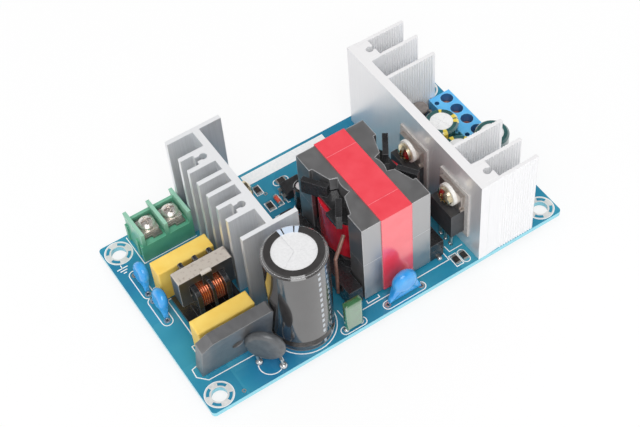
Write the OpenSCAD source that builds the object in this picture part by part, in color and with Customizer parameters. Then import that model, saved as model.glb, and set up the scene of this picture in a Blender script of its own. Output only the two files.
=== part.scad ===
// Open-frame mains power supply board: circuit board, mains filter, bridge, transformer,
// two extruded heatsinks and output filter. Millimetres. The origin is the centre of the
// four-hole mounting pattern on the board's underside, +X towards the output end, +Z up.

/* [Board] */
// Length of the circuit board along X
board_l = 118; // [116:0.5:130]
// Width of the circuit board along Y
board_w = 66.7; // [66.5:0.1:76]
// Thickness of the laminate
board_t = 1.6; // [1:0.2:2.4]
// Radius of the board's corners
board_corner_r = 1.2; // [0.5:0.1:3]
// Diameter of the mounting holes
mount_hole_d = 4.5; // [3:0.1:5]
// Distance of the mounting holes from the board's edges
mount_inset = 4.5; // [4:0.1:5]
// Length of lead left below the board after trimming
lead_out = 2; // [1.9:0.1:3]
// Room added to a lead's diameter for its drilled hole
drill_room = 0.3; // [0.1:0.05:0.5]
// Width of a solder fillet round its lead
solder_w = 0.75; // [0.4:0.05:0.9]
// Height of a solder fillet
solder_h = 1.1; // [0.6:0.1:1.5]

/* [Input terminal] */
// Distance of the input terminal's centre from the board's left edge
in_term_from_left = 18.1; // [17.7:0.1:18.2]
// Place of the input terminal along Y
in_term_y = 26.9; // [26:0.1:27.2]
// Distance between the two input poles
in_term_pitch = 7.62; // [7.4:0.02:7.8]
// Depth of the terminal's housing
in_term_depth = 10.6; // [9:0.1:10.8]
// Thickness of the partition walls
in_term_wall = 1.1; // [0.8:0.1:1.2]
// Height of the deck that carries the contacts
in_term_deck = 6.6; // [5:0.1:8]
// Height of the partition walls at the front
in_term_front_h = 11.6; // [10:0.1:13]
// Height of the partition walls at the back
in_term_back_h = 10.4; // [9:0.1:13]
// Height of the rim behind the contacts
in_term_rim_h = 8.6; // [8:0.1:9.4]
// Reach of the partition walls' upper ends past the back of the housing
in_term_horn = 1; // [0:0.1:1.2]
// Diameter of the terminal screws
in_screw_d = 2.9; // [2.5:0.1:3]
// Diameter of the terminal screws' heads
in_screw_head_d = 5; // [4.6:0.1:5.4]
// Thickness of the contact plates
contact_t = 0.8; // [0.6:0.1:1.2]
// Thickness of the square clamp washers
clamp_t = 1; // [0.8:0.1:1.4]

/* [Mains filter] */
// Length of the film capacitors across the mains
x_cap_l = 17.9; // [16:0.1:18]
// Thickness of the film capacitors across the mains
x_cap_w = 5.3; // [5:0.1:6]
// Height of the film capacitors across the mains
x_cap_h = 12.6; // [10:0.1:14]
// Lead spacing of the film capacitors across the mains
x_cap_pitch = 15; // [12.5:0.1:15.2]
// Distance of the back film capacitor's centre from the board's left edge
x_cap_in_from_left = 16.2; // [15.8:0.1:16.6]
// Place of the back film capacitor along Y
x_cap_in_y = 9; // [8.6:0.1:9.6]
// Distance of the front film capacitor's centre from the board's left edge
x_cap_out_from_left = 15.5; // [14.5:0.1:16.5]
// Place of the front film capacitor along Y
x_cap_out_y = -14.4; // [-14.6:0.1:-13.6]
// Diameter of the blue disc capacitors' bodies
disc_d = 6.8; // [6:0.1:8]
// Thickness of the blue disc capacitors' bodies
disc_t = 2.9; // [2.4:0.1:3.4]
// Lead spacing of the disc capacitors at the input end
disc_pitch = 8; // [7:0.1:8]
// Distance of the input disc capacitors from the board's left edge
disc_from_left = 4.6; // [4.4:0.1:5]
// Place of the back disc capacitor along Y
disc_back_y = 15.2; // [14.6:0.1:16]
// Place of the second disc capacitor along Y
disc_second_y = 4.2; // [3:0.1:5]
// Lean of the input disc capacitors towards the filter, degrees
disc_lean = 9; // [0:1:14]
// Height of the input disc capacitors' middle above the board
disc_z = 5.3; // [4:0.1:6]
// Diameter of the varistor's body
varistor_d = 7.4; // [7:0.1:8]
// Thickness of the varistor's body
varistor_t = 3.6; // [3:0.1:4.2]
// Height of the varistor's middle above the board
varistor_z = 5.6; // [4:0.1:6.4]
// Lead spacing of the varistor
varistor_pitch = 5; // [4.5:0.1:7]
// Distance of the varistor from the board's left edge
varistor_from_left = 19; // [17:0.1:21]
// Place of the varistor along Y
varistor_y = 14.8; // [14:0.1:16]
// Width of the choke's ferrite ring
choke_w = 17; // [15:0.1:18]
// Height of the choke's ferrite ring
choke_ring_h = 10.6; // [10:0.1:12]
// Height of the choke's upper face above the board
choke_top = 17.2; // [16.5:0.1:18]
// Depth of the choke's ferrite bars along Y
choke_bar_y = 4.5; // [4:0.1:5]
// Height of the choke's ferrite bars
choke_bar_z = 3; // [2.6:0.1:3.2]
// Width and height of the choke bobbin's flanges
choke_flange = 12.4; // [11:0.1:12.6]
// Distance of the choke's centre from the board's left edge
choke_from_left = 17.5; // [17:0.1:17.8]
// Place of the choke along Y
choke_y = -0.8; // [-1.6:0.1:-0.2]
// Diameter of the choke's winding wire
choke_wire_d = 0.6; // [0.4:0.05:0.8]
// Thickness of the choke bobbin's end flanges
choke_flange_t = 1.5; // [1:0.1:1.8]
// Number of turns in each of the choke's windings
choke_turns = 5; // [4:1:5]

/* [Bridge and inrush limiter] */
// Width of the bridge rectifier's body
bridge_w = 22; // [20:0.1:22]
// Height of the bridge rectifier's body
bridge_h = 18.4; // [16:0.1:20]
// Thickness of the bridge rectifier's body
bridge_t = 3.6; // [3:0.1:3.7]
// Forward lean of the bridge rectifier, degrees
bridge_lean = 12; // [8:1:14]
// Cut corner of the bridge rectifier
bridge_chamfer = 3.4; // [2:0.1:4]
// Depth of that cut
bridge_chamfer_h = 2.4; // [1.6:0.1:4]
// Diameter of the hole through the bridge rectifier
bridge_hole_d = 3.4; // [3:0.1:4]
// Lead spacing of the bridge rectifier
bridge_pitch = 5.08; // [4.8:0.02:5.2]
// Distance of the bridge's centre from the board's left edge
bridge_from_left = 14.6; // [14:0.1:14.6]
// Place of the bridge's leads along Y
bridge_y = -19.9; // [-20.1:0.1:-19.7]
// Diameter of the inrush limiter's disc
ntc_d = 11.4; // [9:0.1:11.6]
// Thickness of the inrush limiter's disc
ntc_t = 2.6; // [2.2:0.1:3.2]
// Lead spacing of the inrush limiter
ntc_pitch = 6.8; // [6:0.1:7.5]
// Height of the inrush limiter's middle above the board
ntc_z = 9.2; // [8:0.1:10]
// Offset of the inrush limiter's disc from the middle of its leads
ntc_shift = -0.9; // [-1:0.1:0]
// Distance of the inrush limiter from the board's left edge
ntc_from_left = 21.1; // [20.8:0.1:21.6]
// Place of the inrush limiter along Y
ntc_y = -28.8; // [-29:0.1:-28.6]

/* [Primary heatsink] */
// Height of both heatsinks above the board
sink_h = 32; // [28:0.5:36]
// Length of the primary heatsink along Y
sink1_l = 42.1; // [41.5:0.1:43]
// Distance of the primary heatsink's fin tips from the board's left edge
sink1_from_left = 26.6; // [26.5:0.1:27.2]
// Place of the primary heatsink's middle along Y
sink1_y = 10.45; // [10:0.05:10.8]
// Length of the primary heatsink's fins
sink1_fin_l = 8.2; // [7.5:0.1:9]
// Thickness of the primary heatsink's spine
sink1_spine_t = 2.1; // [1.6:0.1:2.4]
// Reach of the primary heatsink's end plates past the spine
sink1_end_reach = 7.1; // [6:0.1:8]
// Thickness of the primary heatsink's fins
sink1_fin_t = 1.4; // [1:0.1:1.6]
// Distance between the primary heatsink's inner fins
sink1_pitch = 5.15; // [5:0.05:5.3]
// Diameter of the screw ports along both heatsinks
port_d = 2.3; // [2.2:0.1:2.6]
// Width of the slit that opens each screw port
port_slit = 1.5; // [1:0.1:1.7]
// Place of the switching transistor along Y, from the heatsink's middle
switch_from_middle = 2; // [-6:0.5:6]

/* [Primary parts] */
// Diameter of the bulk capacitor over its sleeve
bulk_d = 18; // [16:0.1:18]
// Height of the bulk capacitor
bulk_h = 34.8; // [30:0.1:40]
// Lead spacing of the bulk capacitor
bulk_pitch = 7.5; // [7:0.1:8]
// Distance of the bulk capacitor from the board's left edge
bulk_from_left = 35; // [34.8:0.1:35.4]
// Place of the bulk capacitor along Y
bulk_y = -23.1; // [-23.4:0.1:-22]
// Thickness of the capacitors' shrunk sleeves
sleeve_t = 0.2; // [0.1:0.05:0.4]
// Width of the film snubber capacitor
film_w = 5.8; // [5:0.1:6.4]
// Thickness of the film snubber capacitor
film_t = 2.6; // [2.5:0.1:3]
// Height of the film snubber capacitor
film_h = 11.8; // [8:0.1:12]
// Distance of the film snubber capacitor from the bulk capacitor along X
film_from_bulk = 11.4; // [11:0.1:12]
// Place of the film snubber capacitor along Y
film_y = -31.4; // [-31.6:0.1:-31]
// Diameter of the disc capacitor that bridges the barrier
bridge_cap_d = 7.8; // [7:0.1:8.4]
// Thickness of that disc capacitor
bridge_cap_t = 3.4; // [3:0.1:3.6]
// Lead spacing of that disc capacitor
bridge_cap_pitch = 11.4; // [9:0.1:12]
// Height of that disc capacitor's middle above the board
bridge_cap_z = 7.2; // [6.6:0.1:8]
// Distance of that disc capacitor from the transformer's middle along X
bridge_cap_from_trafo = 1; // [0:0.1:2]
// Place of that disc capacitor along Y
bridge_cap_y = -31.2; // [-31.4:0.1:-30.8]

/* [Transformer] */
// Place of the transformer along Y
trafo_y = -10.5; // [-10.6:0.1:-9.5]
// Length of the ferrite core along Y
core_l = 32.2; // [31.6:0.1:32.4]
// Depth of the ferrite core along X
core_w = 22.2; // [21:0.1:22.4]
// Height of the two core halves together
core_h = 31.2; // [28:0.2:34]
// Thickness of the core's plates
core_plate = 4.6; // [4:0.1:5]
// Diameter of the core's middle post
post_d = 13.5; // [12:0.1:14]
// Diameter of the core's round winding window
window_d = 27.5; // [26.5:0.1:27.8]
// Gap between the board and the core
core_gap = 1.1; // [1:0.1:2]
// Width of the tape band round the core
tape_w = 10; // [8:0.5:12]
// Thickness of the tape band
tape_t = 0.3; // [0.2:0.05:0.5]
// Thickness of the bobbin's tube and flanges
bobbin_t = 1.1; // [0.8:0.1:1.4]
// Gap between the bobbin and the core
bobbin_gap = 0.25; // [0.15:0.05:0.3]
// Outer diameter of the taped winding
winding_d = 25.4; // [22:0.1:26]
// Width of the bobbin's pin rails
rail_w = 4.4; // [3:0.1:4.4]
// Height of the bobbin's base under the winding
bobbin_base_t = 4.6; // [2:0.1:5]
// Diameter of the insulated winding lead
lead_wire_d = 1.1; // [0.8:0.1:1.1]
// Number of pins in each rail
rail_pins = 6; // [4:1:6]

/* [Control parts] */
// Distance of the controller chip from the transformer's middle along X
chip_from_trafo = 12.9; // [12.6:0.1:13.4]
// Place of the controller chip along Y
chip_y = 10.2; // [9.6:0.1:10.8]
// Distance of the optocoupler from the transformer's middle along X
opto_from_trafo = 6.6; // [6:0.1:7]
// Place of the optocoupler along Y
opto_y = 18.4; // [17.6:0.1:19]
// Distance of the small supply capacitor from the transformer's middle along X
small_cap_from_trafo = 7.4; // [6:0.1:7.6]
// Place of the small supply capacitor along Y
small_cap_y = 11.2; // [11:0.1:12]
// Diameter of the small supply capacitor over its sleeve
small_cap_d = 5; // [4:0.1:5.2]
// Height of the small supply capacitor
small_cap_h = 11; // [7:0.5:13]
// Length of the chip resistors and capacitors
smd_l = 3.1; // [2:0.1:3.2]
// Width of the chip resistors and capacitors
smd_w = 1.6; // [1.2:0.1:1.6]
// Height of the chip resistors and capacitors
smd_h = 0.6; // [0.4:0.05:1]

/* [Secondary heatsink] */
// Length of the secondary heatsink along Y
sink2_l = 65; // [62:0.5:66.5]
// Thickness of the secondary heatsink's plate
sink2_plate_t = 2.8; // [2.2:0.1:3.2]
// Length of the secondary heatsink's fins
sink2_fin_l = 16.5; // [15:0.1:16.6]
// Thickness of the secondary heatsink's fins
sink2_fin_t = 1.3; // [1:0.1:1.6]
// Share of the finned length at which the middle fin stands
sink2_split = 0.465; // [0.4:0.01:0.55]
// Distance between the ribs on the fins' sides
rib_pitch = 0.86; // [0.7:0.02:1.2]
// Depth of the ribs on the fins' sides
rib_depth = 0.22; // [0.1:0.02:0.3]
// Place of the front rectifier along Y
rect_front_y = -21.7; // [-22.4:0.1:-21]
// Place of the back rectifier along Y
rect_back_y = -2.3; // [-3:0.1:-1.5]

/* [Heatsink devices] */
// Width of a device's body
dev_w = 10; // [9.6:0.1:10.4]
// Thickness of a device over its tab
dev_t = 4.5; // [4:0.1:4.8]
// Thickness of a device's metal tab
dev_tab_t = 1.3; // [1:0.1:1.5]
// Height of a device's moulded body
dev_body_h = 9.2; // [8:0.1:10]
// Height of a device's bare tab above its body
dev_tab_h = 6.4; // [6:0.1:7]
// Height of a device's body above the board
dev_z = 7; // [5:0.1:9]
// Diameter of the hole in a device's tab
dev_hole_d = 3.7; // [3.6:0.1:4]
// Distance of that hole from the tab's upper edge
dev_hole_down = 2.8; // [2.6:0.1:3]
// Lead spacing of a device
dev_pitch = 2.54; // [2.4:0.02:2.6]
// Thickness of the insulating pads
pad_t = 0.5; // [0.3:0.1:0.8]
// Width of the insulating pads
pad_w = 13; // [12:0.1:14]
// Diameter of the bushings' flanges
bush_d = 7; // [6.5:0.1:7.4]
// Thickness of the bushings' flanges
bush_t = 1.1; // [0.8:0.1:1.4]
// Diameter of the device screws
dev_screw_d = 2.9; // [2.5:0.1:2.9]
// Diameter of the device screws' heads
dev_head_d = 5.6; // [5:0.1:6]
// Height of the device screws' heads
dev_head_h = 2.2; // [1.6:0.1:2.4]
// Diameter of the heatsink screws' heads
port_head_d = 5.6; // [5:0.1:6]
// Height of the heatsink screws' heads
port_head_h = 1.8; // [1.4:0.1:2.2]
// Length of the heatsink screws inside the ports
port_thread_l = 6; // [4:0.5:12]

/* [Output] */
// Diameter of the output capacitors over their sleeves
out_cap_d = 10; // [8:0.1:10]
// Height of the output capacitors
out_cap_h = 20.4; // [12:0.1:22]
// Lead spacing of the output capacitors
out_cap_pitch = 5; // [4.5:0.1:5.2]
// Diameter of the rod-core output choke over its sleeve
rod_d = 5; // [4:0.1:5.4]
// Height of the rod-core output choke
rod_h = 16.4; // [12:0.1:20]
// Diameter of the output choke's wire
rod_wire_d = 0.8; // [0.6:0.1:1]
// Height of the output choke's wire end above the board
rod_tail_h = 14; // [8:0.5:15]
// Distance between the output poles
out_term_pitch = 5; // [4.8:0.02:5.1]
// Number of output poles
out_term_poles = 4; // [2:1:4]
// Depth of the output terminal along X
out_term_depth = 7.3; // [7:0.1:7.4]
// Height of the output terminal
out_term_h = 14; // [11:0.1:15]
// Diameter of the output terminal's screw wells
out_well_d = 3.8; // [3.4:0.1:4]
// Width of the output terminal's wire mouths
out_mouth_w = 3.6; // [3:0.1:3.8]
// Height of the output terminal's wire mouths
out_mouth_h = 3.8; // [3:0.1:4]
// Height of the output terminal's contact cages
out_cage_h = 7.6; // [5:0.1:8]
// Height of the output terminal's screw heads
out_head_h = 1.6; // [1.2:0.1:2]
// Thickness of the output terminal's floor
out_floor = 1.6; // [1:0.1:2]

/* [Hidden] */

// Smoothness of round surfaces
$fn = 48;
// Overlap of cutting bodies past the faces that they cut
eps = 0.05;
// Clearance between flat pieces that seat in one another
seat_gap = 0.1;
// Depth to which a screw's shank is rooted in its head
head_root = 0.3;

left = -board_l / 2;
front = -board_w / 2;
mount_x = board_l / 2 - mount_inset;
mount_y = board_w / 2 - mount_inset;

in_term_x = left + in_term_from_left;
in_poles = [for (i = [-1, 1]) [in_term_x + i * in_term_pitch / 2, in_term_y]];
in_pin_d = 1;
in_pin_inset = 2.2;
in_pin_y = in_term_y - in_term_depth / 2 + in_pin_inset;
in_pins = [for (p = in_poles) [p[0], in_pin_y]];
contact_w = in_term_pitch - in_term_wall - 1.2;
contact_inset = 1.1;
contact_step = 0.9;
in_head_h = 2.3;
in_thread_l = 3.2;
in_rim_t = 1;
in_rib_t = 0.5;
in_rib_w = 1.3;

thin_lead_d = 0.6;
dip_foot = 0.5;
dip_foot_r = 0.62;
dip_web = 1.1;
dip_in = 0.4;
dip_side = 0.36;
dip_root = 0.22;
dip_arch = 0.8;
stout_lead_d = 0.8;
x_cap_in_x = left + x_cap_in_from_left;
x_cap_out_x = left + x_cap_out_from_left;
disc_x = left + disc_from_left;
varistor_x = left + varistor_from_left;
choke_x = left + choke_from_left;
choke_wall = 0.6;
choke_mid_t = 0.9;
choke_tube_r = 1.3;
choke_pack = 1.4;
choke_axis_z = choke_top - choke_ring_h + choke_bar_z / 2;
choke_tube_y = choke_bar_y + 2 * (bobbin_gap + choke_wall);
choke_tube_z = choke_bar_z + 2 * (bobbin_gap + choke_wall);
choke_span = choke_w - 2 * choke_bar_z - 2 * bobbin_gap;
choke_bay = (choke_span - 2 * choke_flange_t - choke_mid_t) / 2;
choke_finger_down = 0.7;
choke_finger_y = 1.6;
choke_finger_off = 0.3;
choke_flange_r = 2.6;
choke_base_h = 1.3;
choke_hook_w = 3.2;
choke_hook_t = 0.6;
choke_pin_x = choke_w / 2 - choke_bar_z - 1.2;
choke_pin_y = choke_flange / 2 - 1.4;
bridge_x = left + bridge_from_left;
ntc_x = left + ntc_from_left;
ntc_turn = -45;

sink1_tip_x = left + sink1_from_left;
sink1_spine_x = sink1_tip_x + sink1_fin_l;
sink1_back_x = sink1_spine_x + sink1_spine_t;
port_wall = 2.2;
sink1_port_x = sink1_spine_x - 2;
sink1_port_y = 2 * sink1_pitch;
switch_y = sink1_y + switch_from_middle;
bulk_x = left + bulk_from_left;
film_x = bulk_x + film_from_bulk;

core_z = core_gap;
base_z = core_z + core_plate + bobbin_gap;
rail_top = base_z + bobbin_t;
winding_z0 = base_z + bobbin_base_t;
winding_z1 = core_z + core_h - core_plate - bobbin_gap - bobbin_t;
tube_r = post_d / 2 + bobbin_gap + bobbin_t;
flange_r = window_d / 2 - bobbin_gap;
rail_gap = 0.5;
rail_foot = 0.4;
rail_x = core_w / 2 + rail_gap + rail_w / 2;
rail_out = rail_x + rail_w / 2;
rail_pitch = 5;
rail_end = 0.7;
rail_l = rail_pins * rail_pitch + 2 * rail_end;
wire_room = lead_wire_d + seat_gap;
leg_in_y = 9.5;
pin_cover = 1;
guide_t = 1.7;
guide_back = 7.8;
guide_front = 6.4;
guide_down = 0.6;
ear_in = 0.6;
ear_out = 2.4;
ear_l = 5;
ear_y = -6.9;
lead_wire_y = -10.8;
lead_wire_z0 = 3;
lead_wire_z1 = 18.4;
lead_wire_rise = 3.6;

// Pieces in a row along the board, and the share of the spare length in each gap
dev_room = pad_t + max(dev_t, dev_tab_t + bush_t + dev_head_h);
out_cap_gap = 1;
out_cap_shift = 1.7;
out_term_gap = 0.25;
out_group = out_cap_d + out_cap_shift + out_term_gap + out_term_depth;
row_l = bulk_from_left + bulk_d / 2 + wire_room + 2 * rail_out + dev_room + sink2_plate_t + out_group;
spare_l = board_l - row_l;
to_trafo = 0.256;
to_sink = 0.154;
trafo_x = bulk_x + bulk_d / 2 + spare_l * to_trafo + wire_room + rail_out;
sink2_x = trafo_x + rail_out + spare_l * to_sink + dev_room;
out_x0 = sink2_x + sink2_plate_t + spare_l * to_sink;
bridge_cap_x = trafo_x - bridge_cap_from_trafo;
chip_x = trafo_x - chip_from_trafo;
opto_x = trafo_x - opto_from_trafo;
small_cap_x = trafo_x - small_cap_from_trafo;

// Clear width between the heatsink's inner fins, taken up by the terminal and one capacitor
out_term_l = out_term_poles * out_term_pitch;
channel_room = 0.6;
sink2_channel = out_term_l + out_cap_d + channel_room;
sink2_mid_y = front + sink2_l / 2;
sink2_outer_y = (sink2_l - sink2_fin_t) / 2;
sink2_inner_y = (sink2_channel + sink2_fin_t) / 2;
sink2_gap = (sink2_outer_y - sink2_inner_y) * sink2_split;
sink2_fins = [sink2_outer_y, sink2_outer_y - sink2_gap, sink2_inner_y];
sink2_port_x = sink2_x + sink2_plate_t + port_wall;
sink2_port_y = sink2_outer_y - sink2_gap / 2;

dev_hole_z = dev_z + dev_body_h + dev_tab_h - dev_hole_down;
dev_lead_x = 2.6;
dev_lead_w = 0.8;
dev_lead_t = 0.5;
rect_x = sink2_x - pad_t;

channel_y0 = sink2_mid_y - sink2_channel / 2;
channel_y1 = sink2_mid_y + sink2_channel / 2;
out_cap2 = [out_x0 + out_cap_d / 2, channel_y0 + out_cap_gap + out_cap_d / 2];
out_caps = [
    out_cap2 + [out_cap_shift, out_cap_d + out_cap_gap],
    out_cap2,
    out_cap2 + [out_cap_d + 0.9 * out_cap_gap, -0.9 * out_cap_gap]
];
rod_at = out_caps[0] + [0.4, channel_y1 - seat_gap - rod_d / 2 - out_caps[0][1]];
rod_tail_r = rod_d / 2 + rod_wire_d / 2 + seat_gap / 2;
rod_tail_turn = -24;
rod_leads = [
    rod_at + rod_tail_r * [cos(rod_tail_turn), sin(rod_tail_turn)],
    rod_at - rod_d / 4 * [cos(rod_tail_turn), sin(rod_tail_turn)]
];
out_term_x = out_caps[0][0] + out_cap_d / 2 + out_term_gap + out_term_depth / 2;
out_term_y = channel_y1 - 1.5 * seat_gap - out_term_l / 2;
out_well_off = 1.1;
out_probe_off = -2.5;
out_probe_d = 1.5;
out_thread_d = 2.4;
out_poles = [
    for (i = [0 : out_term_poles - 1])
        [out_term_x + out_well_off, out_term_y + (i - (out_term_poles - 1) / 2) * out_term_pitch]
];

// Chip resistors and capacitors: distances before the transformer's middle and the heatsink
control_far = 15;
control_near = 7.4;
sense_far = 5.3;
sense_near = 2.6;
feed_far = 8.3;
feed_near = 6.1;
diode_back = 12.2;
// Their places and turns on the upper side
chip_places = [
    [trafo_x - control_far, 17.7, 90], [trafo_x - control_near, 24.2, 0], [trafo_x - control_far, 25, 90],
    [sink2_x - sense_far, -29.8, 90], [sink2_x - sense_near, -29.8, 90],
    [sink2_x - feed_near, 12, 90], [sink2_x - feed_near, 18, 90], [sink2_x - feed_far, 26, 0]
];
diode_place = [trafo_x - diode_back, 18, 90];
diode_l = 3.5;
diode_d = 1.5;
cap_l = 0.5;

// Two lead places about a centre, spaced along the direction turn
function pair(c, pitch, turn = 0) =
    [for (s = [-1, 1]) [c[0] + s * pitch / 2 * cos(turn), c[1] + s * pitch / 2 * sin(turn)]];
function row(c, count, pitch, turn = 0) = [
    for (i = [0 : count - 1])
        let (s = (i - (count - 1) / 2) * pitch) [c[0] + s * cos(turn), c[1] + s * sin(turn)]
];

x_cap_in_leads = pair([x_cap_in_x, x_cap_in_y], x_cap_pitch);
x_cap_out_leads = pair([x_cap_out_x, x_cap_out_y], x_cap_pitch);
disc_back_leads = pair([disc_x, disc_back_y], disc_pitch, 90);
disc_second_leads = pair([disc_x, disc_second_y], disc_pitch, 90);
varistor_leads = pair([varistor_x, varistor_y], varistor_pitch);
choke_pins = [
    for (sx = [-1, 1], sy = [-1, 1]) [choke_x + sx * choke_pin_x, choke_y + sy * choke_pin_y]
];
bridge_leads = row([bridge_x, bridge_y], 4, bridge_pitch);
ntc_leads = pair([ntc_x, ntc_y], ntc_pitch, ntc_turn);
switch_leads = row([sink1_back_x + pad_t + dev_lead_x, switch_y], 3, dev_pitch, 90);
bulk_leads = pair([bulk_x, bulk_y], bulk_pitch);
film_leads = pair([film_x, film_y], film_w - 1);
barrier_leads = pair([bridge_cap_x, bridge_cap_y], bridge_cap_pitch);
trafo_pins = [
    for (s = [-1, 1], p = row([0, trafo_y], rail_pins, rail_pitch, 90)) [trafo_x + s * rail_x, p[1]]
];
opto_w = 6.4;
opto_l = 4.6;
opto_h = 3.5;
opto_span = 7.62;
opto_pitch = 2.54;
opto_pins = [
    for (sx = [-1, 1], sy = [-1, 1]) [opto_x + sx * opto_span / 2, opto_y + sy * opto_pitch / 2]
];
small_cap_pitch = 2;
small_cap_leads = pair([small_cap_x, small_cap_y], small_cap_pitch);
rect_leads = [
    for (y = [rect_front_y, rect_back_y], p = row([rect_x - dev_lead_x, y], 3, dev_pitch, 90)) p
];
out_cap_leads = [for (c = out_caps, p = pair(c, out_cap_pitch)) p];

thin_leads = concat(
    x_cap_in_leads, x_cap_out_leads, disc_back_leads, disc_second_leads, varistor_leads,
    choke_pins, film_leads, barrier_leads, opto_pins, small_cap_leads, out_cap_leads
);
stout_leads = concat(ntc_leads, bulk_leads, trafo_pins);
flat_leads = concat(bridge_leads, switch_leads, rect_leads);
terminal_pins = concat(in_pins, out_poles);
sink_ports = concat(
    [for (s = [-1, 1]) [sink1_port_x, sink1_y + s * sink1_port_y]],
    [for (s = [-1, 1]) [sink2_port_x, sink2_mid_y + s * sink2_port_y]]
);
port_screw_d = 3;
flat_lead_d = norm([dev_lead_w, dev_lead_t]);

// Outline of a rectangle with round corners
module round_rect(w, l, r) {
    square([w - 2 * r, l], center = true);
    square([w, l - 2 * r], center = true);
    for (sx = [-1, 1], sy = [-1, 1])
        translate([sx * (w / 2 - r), sy * (l / 2 - r)]) circle(r);
}

// Block with its three sets of edges rounded, standing on z = 0
module soft_block(w, l, h, r) {
    intersection() {
        linear_extrude(h) round_rect(w, l, r);
        translate([0, 0, h / 2]) rotate([90, 0, 0])
            linear_extrude(l + 1, center = true) round_rect(w, h, r);
        translate([0, 0, h / 2]) rotate([90, 0, 90])
            linear_extrude(w + 1, center = true) round_rect(l, h, r);
    }
}

// Round bar or cone from point a to point b
module bar(a, b, ra, rb) {
    d = b - a;
    translate(a) rotate([0, acos(d[2] / norm(d)), atan2(d[1], d[0])])
        cylinder(h = norm(d), r1 = ra, r2 = rb);
}

// Straight round leads from below the board to a height above it
module leads(places, d, top) {
    for (p = places)
        translate([p[0], p[1], -lead_out]) cylinder(h = lead_out + board_t + top, d = d, $fn = 24);
}

// Straight flat leads, wide along Y
module flat_leads_up(places, top) {
    for (p = places)
        translate([p[0] - dev_lead_t / 2, p[1] - dev_lead_w / 2, -lead_out])
            cube([dev_lead_t, dev_lead_w, lead_out + board_t + top]);
}

// Domed screw head with a cross recess, its seat on z = 0
module pan_head(d, h) {
    dome_r = (pow(d / 2, 2) + pow(h / 2, 2)) / h;
    difference() {
        rotate_extrude() intersection() {
            translate([0, h - dome_r]) circle(dome_r, $fn = 96);
            square([d / 2, h]);
        }
        for (a = [0, 90]) rotate(a)
            translate([-d * 0.32, -d * 0.07, h * 0.45]) cube([d * 0.64, d * 0.14, h]);
    }
}

// Pill-edged disc on edge, its axis along Y
module disc_body(d, t) {
    rotate([90, 0, 0]) rotate_extrude() {
        translate([0, -t / 2]) square([d / 2 - t / 2, t]);
        intersection() {
            translate([d / 2 - t / 2, 0]) circle(t / 2);
            translate([0, -t / 2]) square([d / 2, t]);
        }
    }
}

// Dipped disc part on two leads spaced along X, with a web of resin between them, leaning back
module dipped_disc(d, t, pitch, mid_z, lean) {
    translate([0, 0, board_t]) rotate([-lean, 0, 0]) {
        translate([0, 0, mid_z]) disc_body(d, t);
        translate([0, dip_web / 2, 0]) rotate([90, 0, 0]) linear_extrude(dip_web) polygon([
            [dip_in - pitch / 2, dip_foot + dip_in], [-d * dip_side, mid_z], [d * dip_side, mid_z],
            [pitch / 2 - dip_in, dip_foot + dip_in], [d * dip_root, dip_foot + dip_arch],
            [-d * dip_root, dip_foot + dip_arch]
        ]);
        for (s = [-1, 1])
            bar([s * d * dip_root, 0, mid_z - d * 0.16], [s * pitch / 2, 0, dip_foot], t * 0.46, dip_foot_r);
    }
    leads(pair([0, 0], pitch), thin_lead_d, dip_foot + dip_foot_r);
}

// Rolled can of an electrolytic capacitor with a neck groove and a scored top
module can(d, h, pitch, lead_d, scores) {
    r = d / 2 - sleeve_t;
    translate([0, 0, board_t]) difference() {
        rotate_extrude() polygon(can_outline(r, h - sleeve_t));
        for (a = scores) rotate(a)
            translate([0, -0.12, h - sleeve_t - 0.15]) cube([r * 0.66, 0.24, 1]);
    }
    leads(pair([0, 0], pitch), lead_d, 0.5);
}

// Half outline of a can: seal, neck groove, wall and rounded shoulder
function can_outline(r, h) = let (g = r * 0.09, z = r * 0.3) [
    [0, 0], [r - g, 0], [r, g], [r, z], [r - g, z + g], [r - g, z + 2 * g], [r, z + 3 * g],
    [r, h - g], [r - g * 0.3, h - g * 0.3], [r - g, h], [0, h]
];

// Shrunk sleeve over a can, with a lip on its top edge
module sleeve(d, h, lip) {
    r = d / 2 - sleeve_t;
    can_h = h - sleeve_t;
    g = r * 0.09;
    z = r * 0.3;
    t = sleeve_t;
    translate([0, 0, board_t]) rotate_extrude() polygon([
        [r, g], [r, z], [r - g, z + g], [r - g, z + 2 * g], [r, z + 3 * g], [r, can_h - g],
        [r - g * 0.3, can_h - g * 0.3], [r - g, can_h], [r - lip, can_h], [r - lip, h],
        [r - g + t * 0.4, h], [r + t, can_h - g + t * 0.4], [r + t, z + 3 * g],
        [r - g + t, z + 2 * g], [r - g + t, z + g], [r + t, z], [r + t, g]
    ]);
}

module circuit_board() color([0.12, 0.42, 0.52]) difference() {
    linear_extrude(board_t) round_rect(board_l, board_w, board_corner_r);
    for (sx = [-1, 1], sy = [-1, 1])
        translate([sx * mount_x, sy * mount_y, -eps])
            cylinder(h = board_t + 2 * eps, d = mount_hole_d);
    drill(thin_leads, thin_lead_d + drill_room);
    drill(stout_leads, stout_lead_d + drill_room);
    drill(flat_leads, flat_lead_d + drill_room);
    drill(rod_leads, rod_wire_d + drill_room);
    drill(terminal_pins, in_pin_d + drill_room);
    drill(sink_ports, port_screw_d + drill_room);
}

module drill(places, d) {
    for (p = places)
        translate([p[0], p[1], -eps]) cylinder(h = board_t + 2 * eps, d = d, $fn = 24);
}

// Solder cones under the board, each with its lead's own bore
module solder_joints() color([0.75, 0.76, 0.78]) {
    for (p = thin_leads) solder_cone(p, thin_lead_d);
    for (p = stout_leads) solder_cone(p, stout_lead_d);
    for (p = rod_leads) solder_cone(p, rod_wire_d);
    for (p = terminal_pins) solder_cone(p, in_pin_d);
    for (p = flat_leads) difference() {
        solder_cone(p, 0);
        translate([p[0] - dev_lead_t / 2, p[1] - dev_lead_w / 2, -lead_out])
            cube([dev_lead_t, dev_lead_w, lead_out]);
    }
}

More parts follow.
